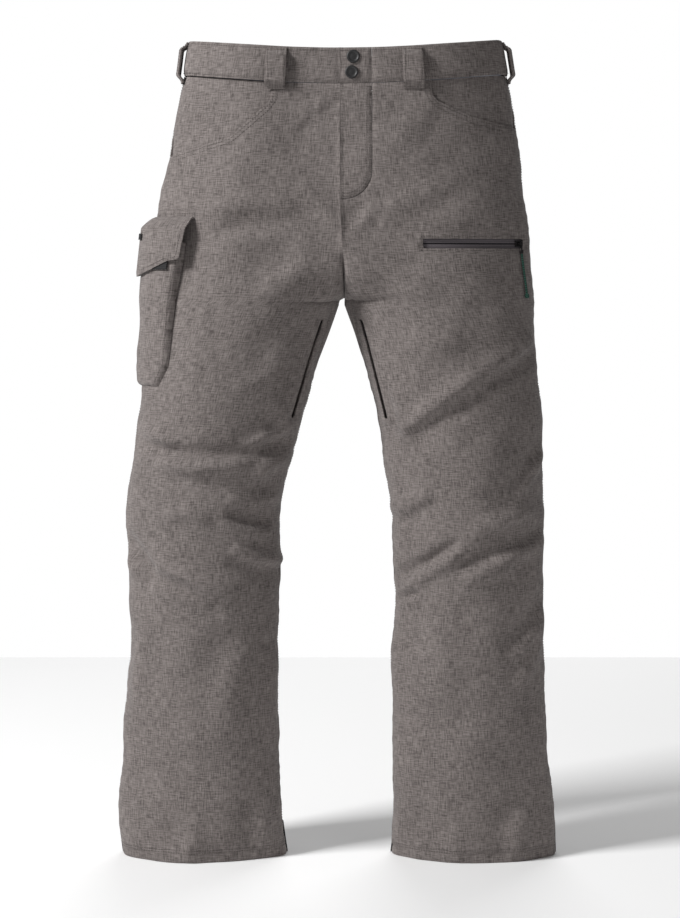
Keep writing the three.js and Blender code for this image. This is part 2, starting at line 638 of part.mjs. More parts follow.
// A snap is drawn with its axis along Y, and the outer face of the tab at y = 0.
function addSnaps() {
  const deep = SHELL + FLY_ROOM;
  const inner = WAISTBAND_THICKNESS;
  const cap = [[0, LAP * 0.6], [SNAP_RADIUS - 0.6, LAP * 0.6], [SNAP_RADIUS, 1.2], [SNAP_RADIUS - 0.7, 2.4],
    [SNAP_RADIUS * 0.6, 3], [0, 3.1]];
  const socketDepth = 6.6;
  const socket = [
    [0, -inner - LAP * 0.6 - 1], [4, -inner - LAP * 0.6 - 1], [4, -inner - socketDepth],
    [6.4, -inner - socketDepth], [6.8, -inner - socketDepth + 1], [6.8, -inner - LAP * 0.6],
    [0, -inner - LAP * 0.6],
  ];
  const stud = [
    [0, -deep + LAP * 0.6], [6.4, -deep + LAP * 0.6], [6.4, -deep + 1.3], [2, -deep + 1.3],
    [2, -deep + 3], [2.3, -deep + 3.6], [2, -deep + 5], [0, -deep + 5.2],
  ];
  const plateTop = -deep - UNDERLAP_THICKNESS - LAP * 0.6;
  const plate = [[0, plateTop - 1], [6, plateTop - 1], [6.4, plateTop - 0.4], [6.4, plateTop], [0, plateTop]];
  ["upper", "lower"].forEach((place, i) => {
    const frame = new THREE.Group();
    const z = -FRONT_DIP - SNAP_RADIUS - 3.5 - i * SNAP_SPACING;
    frame.position.set(SNAP_X - i * 2, 0, z);
    frame.rotation.x = Math.PI; // the profiles' +Y points out of the garment
    flyFrame.add(frame);
    add(`snap_cap_${place}`, turned(cap), MATERIAL.plastic, frame);
    add(`snap_socket_${place}`, turned(socket), MATERIAL.metal, frame);
    add(`snap_stud_${place}`, turned(stud), MATERIAL.metal, frame);
    add(`snap_plate_${place}`, turned(plate), MATERIAL.metal, frame);
  });
}

// ---- Belt loops ----------------------------------------------------------------------------------

// Each loop stands off the waistband and is sewn down at its two ends. region picks the loop's strip.
function addBeltLoops() {
  const out = -(LAP + BELT_ROOM + LOOP_THICKNESS);
  const strapLayer = layer(out, -(LAP + BELT_ROOM));
  const endLayer = layer(out, -LAP);
  const w = LOOP_WIDTH / 2;
  const place = (loopName, x, facing, turnedOut) => {
    const top = HEIGHT - 3 - (turnedOut ? 0 : dipAt(x));
    const bottom = top - LOOP_LENGTH;
    const ys = facing < 0 ? [-FAR, -SEAM] : [SEAM, FAR];
    const region = (z0, z1) =>
      turnedOut ? box(x < 0 ? [-FAR, 0] : [0, FAR], [-w, w], [z0, z1]) : box([x - w, x + w], ys, [z0, z1]);
    const strap = strapLayer.intersect(region(bottom, top));
    const ends = endLayer.intersect(region(bottom, bottom + 4).add(region(top - 4, top)));
    add(loopName, strap.add(ends), MATERIAL.shell);
  };
  place("belt_loop_front_left", 94, -1, false);
  place("belt_loop_front_right", -83, -1, false);
  place("belt_loop_side_left", FAR, 0, true);
  place("belt_loop_side_right", -FAR, 0, true);
  place("belt_loop_back_left", 98, 1, false);
  place("belt_loop_back_right", -84, 1, false);
  place("belt_loop_back_centre", 7, 1, false);
}

// ---- Hand pockets --------------------------------------------------------------------------------

// Behind each scooped mouth lies the facing, and behind that the bag, which hangs flat when it is empty.
function addHandPockets() {
  const facing = layer(SHELL + LAP, SHELL + LAP + 1.6).subtract(above(WAISTBAND_HEIGHT + 2));
  const bag = layer(SHELL + 2 * LAP + 1.6, SHELL + 2 * LAP + 3).subtract(above(WAISTBAND_HEIGHT + 6));
  [LEFT, RIGHT].forEach((side) => {
    const reach = scoop(side, 22).intersect(inFront);
    add(`hand_pocket_facing_${name[side]}`, facing.intersect(reach), MATERIAL.shell);
    const top = WAIST_SEAM;
    const bottom = top - (side === LEFT ? 158 : 170);
    const points = [[104, top], [212, top], [212, bottom + 40], [180, bottom], [118, bottom], [96, bottom + 30]];
    const shape = outline(points.map(([u, v]) => [side * u, v]));
    add(`hand_pocket_bag_${name[side]}`, bag.intersect(prismXZ(shape, [-FAR, -SEAM])), MATERIAL.lining);
  });
}

// ---- Thigh pocket --------------------------------------------------------------------------------

// Bends a geometry that was drawn straight along X round the thigh's axis.
function bent(geometry, radius) {
  const position = geometry.getAttribute("position");
  for (let i = 0; i < position.count; i++) {
    const angle = position.getX(i) / radius;
    const r = radius - position.getY(i);
    position.setXYZ(i, r * Math.sin(angle), -r * Math.cos(angle), position.getZ(i));
  }
  return geometry;
}

// A strip along X, stepped so that it can bend: an ExtrudeGeometry of its section in Y and Z.
function strip([x0, x1], [y0, y1], [z0, z1], steps = 14) {
  const shape = outline([[y0, z0], [y1, z0], [y1, z1], [y0, z1]]);
  const geometry = new THREE.ExtrudeGeometry(shape, { depth: x1 - x0, steps, bevelEnabled: false });
  geometry.applyMatrix4(new THREE.Matrix4().makeBasis(
    new THREE.Vector3(0, 1, 0), new THREE.Vector3(0, 0, 1), new THREE.Vector3(1, 0, 0)));
  return geometry.translate(x0, 0, 0);
}

function addThighPocket() {
  const tapeDepth = SHELL + THIGH_ZIP_ROOM;
  const surface = ZIP_RADIUS - tapeDepth;
  const start = THREE.MathUtils.degToRad(THIGH_ZIP_START) * surface;
  const end = start + THIGH_ZIP_LENGTH * (surface / ZIP_RADIUS);
  const over = SLIDER_LENGTH / 2 + 4;
  const w = ZIP_TAPE_WIDTH / 2;
  const coilTop = ZIP_TAPE_THICKNESS + COIL_THICKNESS;
  const piece = (xs, ys, zs) => solid(bent(strip(xs, ys, zs), surface));
  const tape = piece([start - over, end + over], [0, ZIP_TAPE_THICKNESS], [-w, w]);
  const coils = [-1, 1].map((s) => {
    const [near, far] = [ZIP_SPLIT / 2, ZIP_SPLIT / 2 + COIL_WIDTH].map((z) => z * s).sort((a, b) => a - b);
    return piece([start - over + 2, end + over - 2], [ZIP_TAPE_THICKNESS - 0.2, coilTop], [near, far]);
  });
  const room = SLIDER_LENGTH / 2 + ZIP_CLEARANCE;
  const split = piece([start - room, end + room], [-1, coilTop + 1], [-ZIP_SPLIT / 2, ZIP_SPLIT / 2]);
  const frame = new THREE.Group();
  frame.position.copy(ZIP_CENTRE);
  pants.add(frame);
  const zip = tape.add(coils[0]).add(coils[1]).subtract(split);
  const lining = half(LEFT, SHELL + 0.3).translate(ZIP_CENTRE.clone().negate().toArray());
  add("thigh_zip_tape", zip.intersect(lining), MATERIAL.tape, frame);

  // The slider rests at the zip's outer end. Its own Z lies along the zip, so it is turned on its side.
  const slider = new THREE.Group();
  const angle = end / surface;
  slider.position.set(surface * Math.sin(angle), -surface * Math.cos(angle), 0);
  slider.quaternion.setFromRotationMatrix(new THREE.Matrix4().makeBasis(
    new THREE.Vector3(0, 0, -1),
    new THREE.Vector3(-Math.sin(angle), Math.cos(angle), 0),
    new THREE.Vector3(Math.cos(angle), Math.sin(angle), 0),
  ));
  frame.add(slider);
  add("thigh_zip_slider", zipSlider(), MATERIAL.metal, slider);

  // The pull is a short wire loop that hangs from the slider's eye, clear of the cloth. The cord hangs from it.
  const hook = new THREE.Group();
  hook.position.copy(slider.position);
  hook.rotation.z = angle;
  frame.add(hook);
  const reach = PULL_AXIS_Y; // out of the tape
  const bar = box([-0.5, 0.5], [reach - 0.5, reach + 0.5], [-1.6, 1.6]);
  const drop = 9;
  const proud = reach - 5.6; // the loop passes in front of the cloth
  const arms = [-1, 1].map((s) => {
    const [near, far] = [1.5, 2.7].map((z) => z * s).sort((a, b) => a - b);
    return box([-0.6, 0.6], [proud, reach + 0.6], [near, far]);
  });
  const bow = box([-0.6, 0.6], [proud, proud + 1.2], [-drop, 2.7]);
  const ring = box([-2.2, 2.2], [proud - 0.2, proud + 1.4], [-drop - 4, -drop + 1]);
  add("thigh_zip_pull", bar.add(arms[0]).add(arms[1]).add(bow).add(ring), MATERIAL.metal, hook);

  const r = CORD_DIAMETER / 2;
  const y = proud + 0.4;
  const cordTop = -drop - 4 - 0.3;
  const route = new THREE.CatmullRomCurve3([
    new THREE.Vector3(0, y, cordTop),
    new THREE.Vector3(1, y - 1.6, cordTop - CORD_LENGTH * 0.25),
    new THREE.Vector3(2.4, y - 3, cordTop - CORD_LENGTH * 0.5),
    new THREE.Vector3(3.4, y - 5, cordTop - CORD_LENGTH * 0.75),
    new THREE.Vector3(4, y - 6.4, cordTop - CORD_LENGTH),
  ]);
  const around = new THREE.Shape().absarc(0, 0, r, 0, Math.PI * 2, false);
  const cord = new THREE.ExtrudeGeometry(around, { steps: 10, curveSegments: 4, extrudePath: route });
  add("thigh_zip_cord", solid(cord), MATERIAL.cord, hook);

  // The bag lies on the back of the tape, and steps in behind the slider's path.
  const top = THIGH_ZIP_Z + 11;
  const shape = outline([[96, top], [214, top], [214, top - 120], [190, top - 142], [112, top - 142],
    [96, top - 124]]);
  const sheet = 1.4;
  const near = tapeDepth + ZIP_TAPE_THICKNESS + 1.7;
  const deep = near + 4.5;
  const band = (h) => box([-FAR, FAR], [-FAR, FAR], [THIGH_ZIP_Z - h, THIGH_ZIP_Z + h]);
  const flat = sideLayer(LEFT, near, near + sheet).subtract(band(6));
  const step = sideLayer(LEFT, near, deep + sheet).intersect(band(6 + sheet).subtract(band(6)));
  const recess = sideLayer(LEFT, deep, deep + sheet).intersect(band(6 + sheet));
  const bag = flat.add(step).add(recess).intersect(prismXZ(shape, [-FAR, -SEAM]));
  add("thigh_pocket_bag", bag, MATERIAL.lining);
}

// ---- Cargo pocket --------------------------------------------------------------------------------

// The pocket's edge, seen from the front: it leans outwards towards the bottom and has a cut corner.
function cargoShape(inset, top) {
  const bottom = CARGO_TOP - CARGO_HEIGHT + inset;
  return outline([
    [-192 - inset, top], [-203 - inset, CARGO_TOP - 56], [-214 - inset, CARGO_TOP - 106],
    [-224 - inset, bottom + 28], [-238 - inset, bottom], [-FAR, bottom], [-FAR, top],
  ]);
}

function addCargoPocket() {
  const wall = 1.5;
  const out = LAP + CARGO_FULLNESS;
  const mouth = CARGO_TOP - CARGO_FLAP_ROOM;
  const rear = (y) => box([-FAR, 0], [-FAR, y], [0, HEIGHT]);
  const rows = ROWS.filter((z) => z < CARGO_TOP + 120 && z > CARGO_TOP - CARGO_HEIGHT - 120);
  const whole = half(RIGHT, -out, rows).subtract(half(RIGHT, -LAP, rows));
  const room = half(RIGHT, -(out - wall), rows).subtract(half(RIGHT, -(LAP + wall), rows));
  const through = [-FAR, FAR];
  const pouch = whole.intersect(prismXZ(cargoShape(0, mouth), through)).intersect(rear(CARGO_REAR))
    .subtract(room.intersect(prismXZ(cargoShape(wall, mouth + FAR), through)).intersect(rear(CARGO_REAR - wall)));
  add("cargo_pocket", pouch, MATERIAL.shell);

  // The flap starts on the leg, slopes out over the mouth and hangs down over the pocket's front.
  const gap = 2 * PATCH_THICKNESS + 3 * 0.3;
  const start = LAP;
  const full = out + gap;
  const slope = CARGO_FULLNESS + 2;
  const flapRows = [
    ...rows.filter((z) => z < CARGO_TOP - slope), CARGO_TOP - slope, CARGO_TOP, CARGO_TOP + 20,
  ];
  const innerFace = (z) => -THREE.MathUtils.clamp(
    THREE.MathUtils.mapLinear(z, CARGO_TOP, CARGO_TOP - slope, start, full), start, full);
  const sheet = half(RIGHT, (z) => innerFace(z) - CARGO_FLAP_THICKNESS, flapRows)
    .subtract(half(RIGHT, innerFace, flapRows));
  const low = CARGO_TOP - CARGO_FLAP_DROP;
  const flapShape = outline([
    [-190, CARGO_TOP], [-201, low], [-216, low - 3], [-232, low - CARGO_FLAP_POINT * 0.4],
    [-248, low - CARGO_FLAP_POINT * 0.75], [-258, low - CARGO_FLAP_POINT], [-FAR, low - CARGO_FLAP_POINT],
    [-FAR, CARGO_TOP],
  ]);
  const flap = sheet.intersect(prismXZ(flapShape, through)).intersect(rear(CARGO_REAR + 3));
  add("cargo_flap", flap, MATERIAL.shell);

  // Hook tape under the flap, loop tape on the pocket, and a small woven tag on the flap.
  const patchHigh = low + 4;
  const patchLow = low - 14;
  const patchRegion = box([-FAR, -100], [-48, 20], [patchLow, patchHigh]);
  const patch = (near) => half(RIGHT, -(near + PATCH_THICKNESS), rows).subtract(half(RIGHT, -near, rows))
    .intersect(patchRegion);
  add("cargo_loop_patch", patch(out + 0.3), MATERIAL.webbing);
  add("cargo_hook_patch", patch(out + 0.3 + PATCH_THICKNESS + 0.3), MATERIAL.webbing);
  const tagDepth = full + CARGO_FLAP_THICKNESS + 0.3;
  const tag = half(RIGHT, -(tagDepth + 0.8), rows).subtract(half(RIGHT, -tagDepth, rows))
    .intersect(box([-FAR, -100], [-17, -1], [CARGO_TOP - 32, CARGO_TOP - 24]));
  add("cargo_tag", tag, MATERIAL.webbing);
}

// ---- Vents and hems ------------------------------------------------------------------------------

function addVents() {
  const depth = SHELL + 2.6; // the cloth curves away on both sides of the zip
  [LEFT, RIGHT].forEach((side) => {
    const frame = VENT_FRAME[side];
    pants.add(frame);
    const zip = new THREE.Group();
    zip.position.y = depth;
    frame.add(zip);
    const travel = VENT_LENGTH - 8;
    zip.updateMatrixWorld();
    const lining = half(side, SHELL + 0.3).transform(zip.matrixWorld.clone().invert().elements);
    const tape = zipTape(travel, ZIP_TAPE_WIDTH - 6).intersect(lining);
    add(`vent_zip_tape_${name[side]}`, tape, MATERIAL.tape, zip);
    const slider = new THREE.Group();
    slider.position.z = travel / 2;
    zip.add(slider);
    add(`vent_zip_slider_${name[side]}`, zipSlider(), MATERIAL.metal, slider);
    add(`vent_zip_pull_${name[side]}`, zipPull(VENT_PULL_LENGTH), MATERIAL.metal, slider);
    const rear = ZIP_TAPE_THICKNESS + COIL_THICKNESS + 2 * ZIP_CLEARANCE + SLIDER_PLATE + 0.4;
    const mesh = box([-14, 14], [rear, rear + 1], [-travel / 2 - 12, travel / 2 + 12]);
    add(`vent_mesh_${name[side]}`, mesh, MATERIAL.mesh, zip);
  });
}

function addHems() {
  const rows = ROWS.filter((z) => z < INSEAM * 0.45);
  const inner = (z) => THREE.MathUtils.clamp(
    THREE.MathUtils.mapLinear(z, GAITER_TOP, GAITER_TOP - 90, SHELL + LAP, 12), SHELL + LAP, 12);
  [LEFT, RIGHT].forEach((side) => {
    const slab = box([-FAR, FAR], [-FAR, FAR], [GAITER_BOTTOM, GAITER_TOP]);
    const sleeve = half(side, inner, rows).subtract(half(side, (z) => inner(z) + GAITER_THICKNESS, rows));
    add(`boot_gaiter_${name[side]}`, sleeve.intersect(slab), MATERIAL.lining);
    const band = half(side, (z) => inner(z) + GAITER_THICKNESS + LAP, rows)
      .subtract(half(side, (z) => inner(z) + GAITER_THICKNESS + LAP + 1.2, rows))
      .intersect(box([-FAR, FAR], [-FAR, FAR], [GAITER_BOTTOM, GAITER_BOTTOM + 26]));
    add(`gaiter_elastic_${name[side]}`, band, MATERIAL.webbing);
    const guard = sideLayer(side, -(LAP + 1.1), -LAP, rows)
      .intersect(box([-FAR, FAR], [2, FAR], [0, SCUFF_HEIGHT]));
    add(`scuff_guard_${name[side]}`, guard, MATERIAL.webbing);
  });
}

addPanels();
addWaistband();
addFly();
addSnaps();
addBeltLoops();
addHandPockets();
addThighPocket();
addCargoPocket();
addVents();
addHems();

// The origin is on the floor, under the middle of the pants' box.
const bounds = new THREE.Box3().setFromObject(pants, true);
const middle = bounds.getCenter(new THREE.Vector3());
pants.position.set(-middle.x, -middle.y, -bounds.min.z);

export default pants;
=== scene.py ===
# %% [markdown]
# # Ski pants, dressed over their frame
# The frame is the measured model of a pair of insulated ski pants. Its solids are plain, so each sewn
# panel is laid again here as cloth, with folds, seams, stitches and a weave. The metal and plastic parts
# keep their shapes, and get softened edges and a finish.

# %% Load the frame
import json
import math

import bmesh
import bpy
import numpy as np
from mathutils import Matrix, Vector


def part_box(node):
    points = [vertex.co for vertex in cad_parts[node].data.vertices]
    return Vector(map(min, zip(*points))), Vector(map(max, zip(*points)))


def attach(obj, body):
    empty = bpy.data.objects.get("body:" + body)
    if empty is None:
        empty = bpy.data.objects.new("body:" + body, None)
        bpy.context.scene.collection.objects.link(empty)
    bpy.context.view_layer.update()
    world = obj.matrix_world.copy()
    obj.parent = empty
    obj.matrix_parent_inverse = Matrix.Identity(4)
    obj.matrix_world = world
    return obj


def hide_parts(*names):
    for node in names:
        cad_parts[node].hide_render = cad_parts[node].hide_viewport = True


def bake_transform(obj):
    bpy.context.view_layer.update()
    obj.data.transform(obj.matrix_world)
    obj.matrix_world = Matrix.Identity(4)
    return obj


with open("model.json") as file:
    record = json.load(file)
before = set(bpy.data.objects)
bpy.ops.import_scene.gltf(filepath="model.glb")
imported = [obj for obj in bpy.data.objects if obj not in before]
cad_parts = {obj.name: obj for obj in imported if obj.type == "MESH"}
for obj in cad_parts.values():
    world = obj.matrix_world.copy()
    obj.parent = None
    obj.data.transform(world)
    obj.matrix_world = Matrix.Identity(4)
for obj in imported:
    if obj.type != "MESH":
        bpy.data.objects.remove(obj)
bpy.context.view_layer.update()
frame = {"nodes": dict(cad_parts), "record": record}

BODY_OF = {node: body for body, nodes in frame["record"]["behaviour"]["bodies"].items() for node in nodes}

# %% [markdown]
# ## The garment's own measures
# A pattern maker works in millimetres from the hem up, so this script does too, and turns points into
# metres at the very end. The shift between the two frames is read from two solids whose cut edges are
# known: the fly's free edge lies on the middle line, and the boot guards begin 2 mm behind the side seam.

# %% Measures
HEIGHT, INSEAM = 1090.0, 750.0
RISE = HEIGHT - INSEAM
BAND = 46.0  # height of the waistband
SEAM_Z = HEIGHT - BAND
DIP = 14.0  # how far the waistband sinks at the middle
QUARTER = 165  # about how many millimetres one step of w is, round a leg
WAIST_HALF = 207.0
CROTCH_X = 6.0
FRONT_FORK, BACK_FORK = 95.0, 160.0
LEFT, RIGHT = 1, -1
NAME = {LEFT: "left", RIGHT: "right"}
SHIFT = np.array([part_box("fly_placket")[0].x * 1000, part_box("scuff_guard_left")[0].y * 1000 - 2.0, 0.0])


def to_metres(points):
    return (np.asarray(points, float) + SHIFT) / 1000


print("shift in mm", SHIFT.round(3))

# %% [markdown]
# ## The body surface
# The cloth hangs over one smooth surface: a tube for each leg that opens out, above the crotch, into the
# hips. Smooth curves give its width, depth and middle at every height, and each section is four quarters
# made of two arcs. A place on it has two coordinates. `w` runs round a leg from -2, the inseam, over -1,
# the front, and 0, the side seam, to 1, the back, and 2, the inseam again. `z` is the height.

# %% Curves of the body


def track(stops):
    at, value = (np.array(column, float) for column in zip(*stops))
    n = len(at)
    slope = np.array([
        (value[min(i + 1, n - 1)] - value[max(i - 1, 0)]) / (at[min(i + 1, n - 1)] - at[max(i - 1, 0)])
        for i in range(n)
    ])

    def read(level):
        level = np.clip(level, at[0], at[-1])
        i = np.clip(np.searchsorted(at, level) - 1, 0, n - 2)
        wide = at[i + 1] - at[i]
        t = (level - at[i]) / wide
        h = t * t * (3 - 2 * t)
        bend = wide * t * (1 - t) * ((1 - t) * slope[i] - t * slope[i + 1])
        return value[i] + (value[i + 1] - value[i]) * h + bend

    return read


leg_width = track([
    (0, 227), (0.1, 221), (0.25, 208), (0.45, 201), (0.62, 204), (0.74, 214), (0.86, 228), (0.95, 242),
    (1, 256)])
leg_centre = {
    LEFT: track([
        (0, 182), (0.15, 178), (0.3, 173), (0.5, 173), (0.62, 171), (0.72, 165), (0.83, 154), (0.95, 140),
        (1, 132)]),
    RIGHT: track([
        (0, -186), (0.15, -188), (0.3, -185), (0.5, -182), (0.62, -181), (0.72, -172), (0.83, -155),
        (0.95, -136), (1, -128)]),
}
body_half = track([(1, 258), (1.25, 248), (1.45, 240), (1.6, 230), (1.75, 220), (1.88, 213), (2, 207)])
body_centre = track([(1, 2), (1.3, 2), (1.6, 4.5), (1.8, 7.5), (2, 7)])
front_depth = track([
    (0, 56), (0.25, 62), (0.6, 73), (0.85, 80), (1, 81), (1.25, 78.5), (1.5, 74.3), (1.75, 70.2), (2, 66)])
back_depth = track([
    (0, 56), (0.25, 64), (0.6, 73), (0.85, 86), (1, 90), (1.2, 100), (1.45, 96), (1.7, 75), (1.9, 67), (2, 64)])
crest_share = track([(0, 0.5), (0.85, 0.5), (1.15, 0.43), (2, 0.43)])
centre_line = track([(0, 6), (1, 6), (1.2, 3), (1.4, 0), (2, 0)])

# %% A place on the body


def level_of(z):
    return np.where(z <= INSEAM, z / INSEAM, 1 + (z - INSEAM) / RISE)


def quarter_facts(side, w, z):
    level = level_of(z)
    forked = z > INSEAM
    middle = centre_line(level)
    leg = leg_centre[side](level)
    half = leg_width(level) / 2
    outer = np.where(forked, body_centre(level) + side * body_half(level), leg + side * half)
    inseam = side * np.maximum(side * (leg - side * half), side * (middle + side * 0.3))
    inner = np.where(forked, middle, inseam)
    crest = inner + (outer - inner) * crest_share(level)
    b = np.where(w < 0, front_depth(level), back_depth(level))
    a = np.where(np.abs(w) <= 1, np.abs(outer - crest), np.abs(crest - inner))
    big, small = a * (a + b) / (2 * b), b * b / a
    turn = np.arctan2(a - small, big - b)
    return a, b, big, small, turn, crest, forked


def on_body(side, w, z):
    """Points on the outside of the cloth, in the garment's millimetres."""
    w, z = np.broadcast_arrays(np.asarray(w, float), np.asarray(z, float))
    a, b, big, small, turn, crest, forked = quarter_facts(side, w, z)
    outward = np.abs(w) <= 1
    along = np.where(outward, 1 - np.abs(w), np.abs(w) - 1)
    reach = along * (big * turn + small * (math.pi / 2 - turn))
    phi = np.where(reach <= big * turn, reach / big, turn + (reach - big * turn) / small)
    x = np.where(phi <= turn, big * np.sin(phi), a - small + small * np.sin(phi))
    fork = np.where(w < 0, FRONT_FORK, BACK_FORK)
    h = np.clip((z - INSEAM) / fork, 0, 1)
    flat = np.where(outward, 0, np.sqrt(1 - (1 - h) ** 2))
    x = (1 - flat) * x + flat * a * along
    on_big = x <= big * np.sin(turn)
    y_big = b - big + np.sqrt(np.maximum(big * big - x * x, 0))
    y_small = np.sqrt(np.maximum(small * small - (x - a + small) ** 2, 0))
    y = flat * b + (1 - flat) * np.where(on_big, y_big, y_small)
    return np.stack([crest + np.where(outward, side, -side) * x, np.where(w < 0, -1, 1) * y, z], -1)


def body_normal(side, w, z):
    """The outward direction of the cloth."""
    small_w, small_z = 0.012, 1.0
    round_leg = on_body(side, np.clip(w + small_w, -2, 2), z) - on_body(side, np.clip(w - small_w, -2, 2), z)
    up = on_body(side, w, z + small_z) - on_body(side, w, z - small_z)
    normal = np.cross(round_leg, up) * side
    return normal / np.maximum(np.linalg.norm(normal, axis=-1, keepdims=True), 1e-9)


def w_at(side, x, z, back=False):
    """The w of points given by x and z, on the front or the back."""
    steps = np.linspace(0, 2, 401) * (1 if back else -1)
    found = []
    for px, pz in zip(np.ravel(x), np.ravel(z)):
        row = side * on_body(side, steps, pz)[:, 0]
        found.append(np.interp(-side * px, -row, steps))
    return np.array(found)


def dip_at(x):
    return DIP * (1 - np.clip(x / WAIST_HALF, -1, 1) ** 2)


print("hip at 860 mm", on_body(LEFT, 0.0, 860.0).round(1), "front", on_body(LEFT, -1.0, 860.0).round(1))

# %% [markdown]
# ## Camera and light
# The pants are seen straight on from three metres, a little above the knees, as for a catalogue. One
# small strong light, high on the left, grazes the cloth and shapes the folds. A weaker one opens the shadows
# on the right, and one behind lights the floor and the rims.

# %% Camera and light
VIEW_HEIGHT = 1.221  # metres that the upright frame takes in, at the pants
SENSOR = 36
CAMERA_AT = Vector((0.002, -3.0, 0.80))
AIM = Vector((0.002, -0.03, 0.539))


def add_object(name, data):
    made = bpy.data.objects.new(name, data)
    bpy.context.scene.collection.objects.link(made)
    return made


camera = add_object("camera", bpy.data.cameras.new("camera"))
camera.location = CAMERA_AT
camera.rotation_euler = (AIM - CAMERA_AT).to_track_quat("-Z", "Y").to_euler()
camera.data.sensor_width = SENSOR
camera.data.lens = SENSOR * (AIM - CAMERA_AT).length / VIEW_HEIGHT
bpy.context.scene.camera = camera
bpy.context.scene.view_settings.view_transform = "Standard"


def studio_light(name, place, size, power):
    light = add_object(name, bpy.data.lights.new(name, "AREA"))
    light.data.size = size
    light.data.energy = power
    light.location = place
    light.rotation_euler = (Vector((0, 0, 0.6)) - Vector(place)).to_track_quat("-Z", "Y").to_euler()


studio_light("key_light", (-2.5, -1.3, 2.6), 0.8, 140)
studio_light("fill_light", (2.6, -2.8, 1.3), 2.4, 18)
studio_light("rear_light", (0.6, 3.0, 2.4), 2.6, 60)
print("lens", round(camera.data.lens, 1))

# %% [markdown]
# ## Colours and the one helper for materials
# Colours are written as they are seen, in sRGB, and turned into light values by one function. Each
# finish is a small node tree, and one helper adds a node, sets it and links it.

# %% Material helpers


def seen(hexadecimal):
    channels = [int(hexadecimal[i:i + 2], 16) / 255 for i in (0, 2, 4)]
    return [*(c / 12.92 if c <= 0.04045 else ((c + 0.055) / 1.055) ** 2.4 for c in channels), 1.0]


def add_node(tree, kind, inputs=None, **settings):
    made = tree.nodes.new(kind)
    for setting, value in settings.items():
        setattr(made, setting, value)
    for socket, value in (inputs or {}).items():
        if isinstance(value, bpy.types.NodeSocket):
            tree.links.new(value, made.inputs[socket])
        else:
            made.inputs[socket].default_value = value
    return made


def start_material(name, roughness, **values):
    material = bpy.data.materials.new(name)
    material.use_nodes = True
    tree = material.node_tree
    shader = tree.nodes["Principled BSDF"]
    shader.inputs["Roughness"].default_value = roughness
    for socket, value in values.items():
        shader.inputs[socket.replace("_", " ")].default_value = value
    return material, tree, shader


def blend_colours(tree, share, first, second):
    mix = add_node(tree, "ShaderNodeMix", {0: share, 6: first, 7: second}, data_type="RGBA")
    return mix.outputs[2]


def stretched_noise(tree, place, grain, detail=2.0):
    """Noise whose grains have this size in millimetres, along each direction of the place."""
    scaled = add_node(tree, "ShaderNodeMapping", {"Vector": place, "Scale": [1000 / g for g in grain]})
    return add_node(tree, "ShaderNodeTexNoise", {
        "Vector": scaled.outputs["Vector"], "Scale": 1.0, "Detail": detail, "Roughness": 0.6}).outputs["Fac"]


def flat_map(tree):
    return add_node(tree, "ShaderNodeUVMap", uv_map="weave").outputs["UV"]


def calculate(tree, operation, *values):
    return add_node(tree, "ShaderNodeMath", dict(enumerate(values)), operation=operation).outputs[0]


def sharpen(tree, value, low, high):
    stretch = add_node(tree, "ShaderNodeMapRange", {"Value": value, "From Min": low, "From Max": high})
    return stretch.outputs["Result"]


def add_bump(tree, shader, height, depth_mm, strength=1.0):
    bump = add_node(tree, "ShaderNodeBump", {
        "Height": height, "Distance": depth_mm / 1000, "Strength": strength})
    tree.links.new(bump.outputs["Normal"], shader.inputs["Normal"])


print("cloth grey as light", [round(c, 3) for c in seen("6f6865")])

# %% [markdown]
# ## The shell cloth
# The cloth is a mélange: each thread is spun from light and dark fibres, and thick places in the threads
# show as short streaks, both along and across. Two stretched noises give the streaks, at their real
# length and width, and a fine weave of half a millimetre goes into the bump. The pattern follows each
# panel's own flat map, so it turns with the cloth.

# %% Shell cloth


def heather_cloth(name, dark, light):
    material, tree, shader = start_material(name, 0.93, Specular_IOR_Level=0.25, Sheen_Weight=0.12)
    shader.inputs["Sheen Roughness"].default_value = 0.5
    place = flat_map(tree)
    across = stretched_noise(tree, place, (12.0, 1.35, 1), 1.0)
    along = stretched_noise(tree, place, (1.35, 14.0, 1), 1.0)
    fleck = stretched_noise(tree, place, (1.6, 1.6, 1), 2.0)
    broad = stretched_noise(tree, place, (46.0, 60.0, 1), 3.0)
    threads = calculate(tree, "ADD", across, along)
    threads = calculate(tree, "MULTIPLY_ADD", fleck, 0.35, threads)
    threads = calculate(tree, "MULTIPLY_ADD", broad, 0.3, threads)
    share = sharpen(tree, threads, 1.0, 1.74)
    tint = blend_colours(tree, share, seen(dark), seen(light))
    tree.links.new(tint, shader.inputs["Base Color"])
    weft, warp = (add_node(tree, "ShaderNodeTexWave", {"Vector": place, "Scale": 310.0}, bands_direction=bands)
                  for bands in ("X", "Y"))
    weave = calculate(tree, "MULTIPLY", weft.outputs["Fac"], warp.outputs["Fac"])
    relief = calculate(tree, "MULTIPLY_ADD", weave, 0.5, threads)
    add_bump(tree, shader, relief, 0.16, 0.7)
    return material


SHELL_CLOTH = heather_cloth("melange_shell_cloth", "4f4947", "8c8481")
print("made", SHELL_CLOTH.name)

# %% [markdown]
# ## The other finishes
# The lining is smooth taffeta. Zip tapes are tight herringbone, elastic and the boot guards are coarse
# black webbing, the vents hold a dark net, and snaps and sliders are black plastic and gunmetal. Each
# is a small tree of its own, because what makes them look different is the size of their grain.

# %% Woven finishes


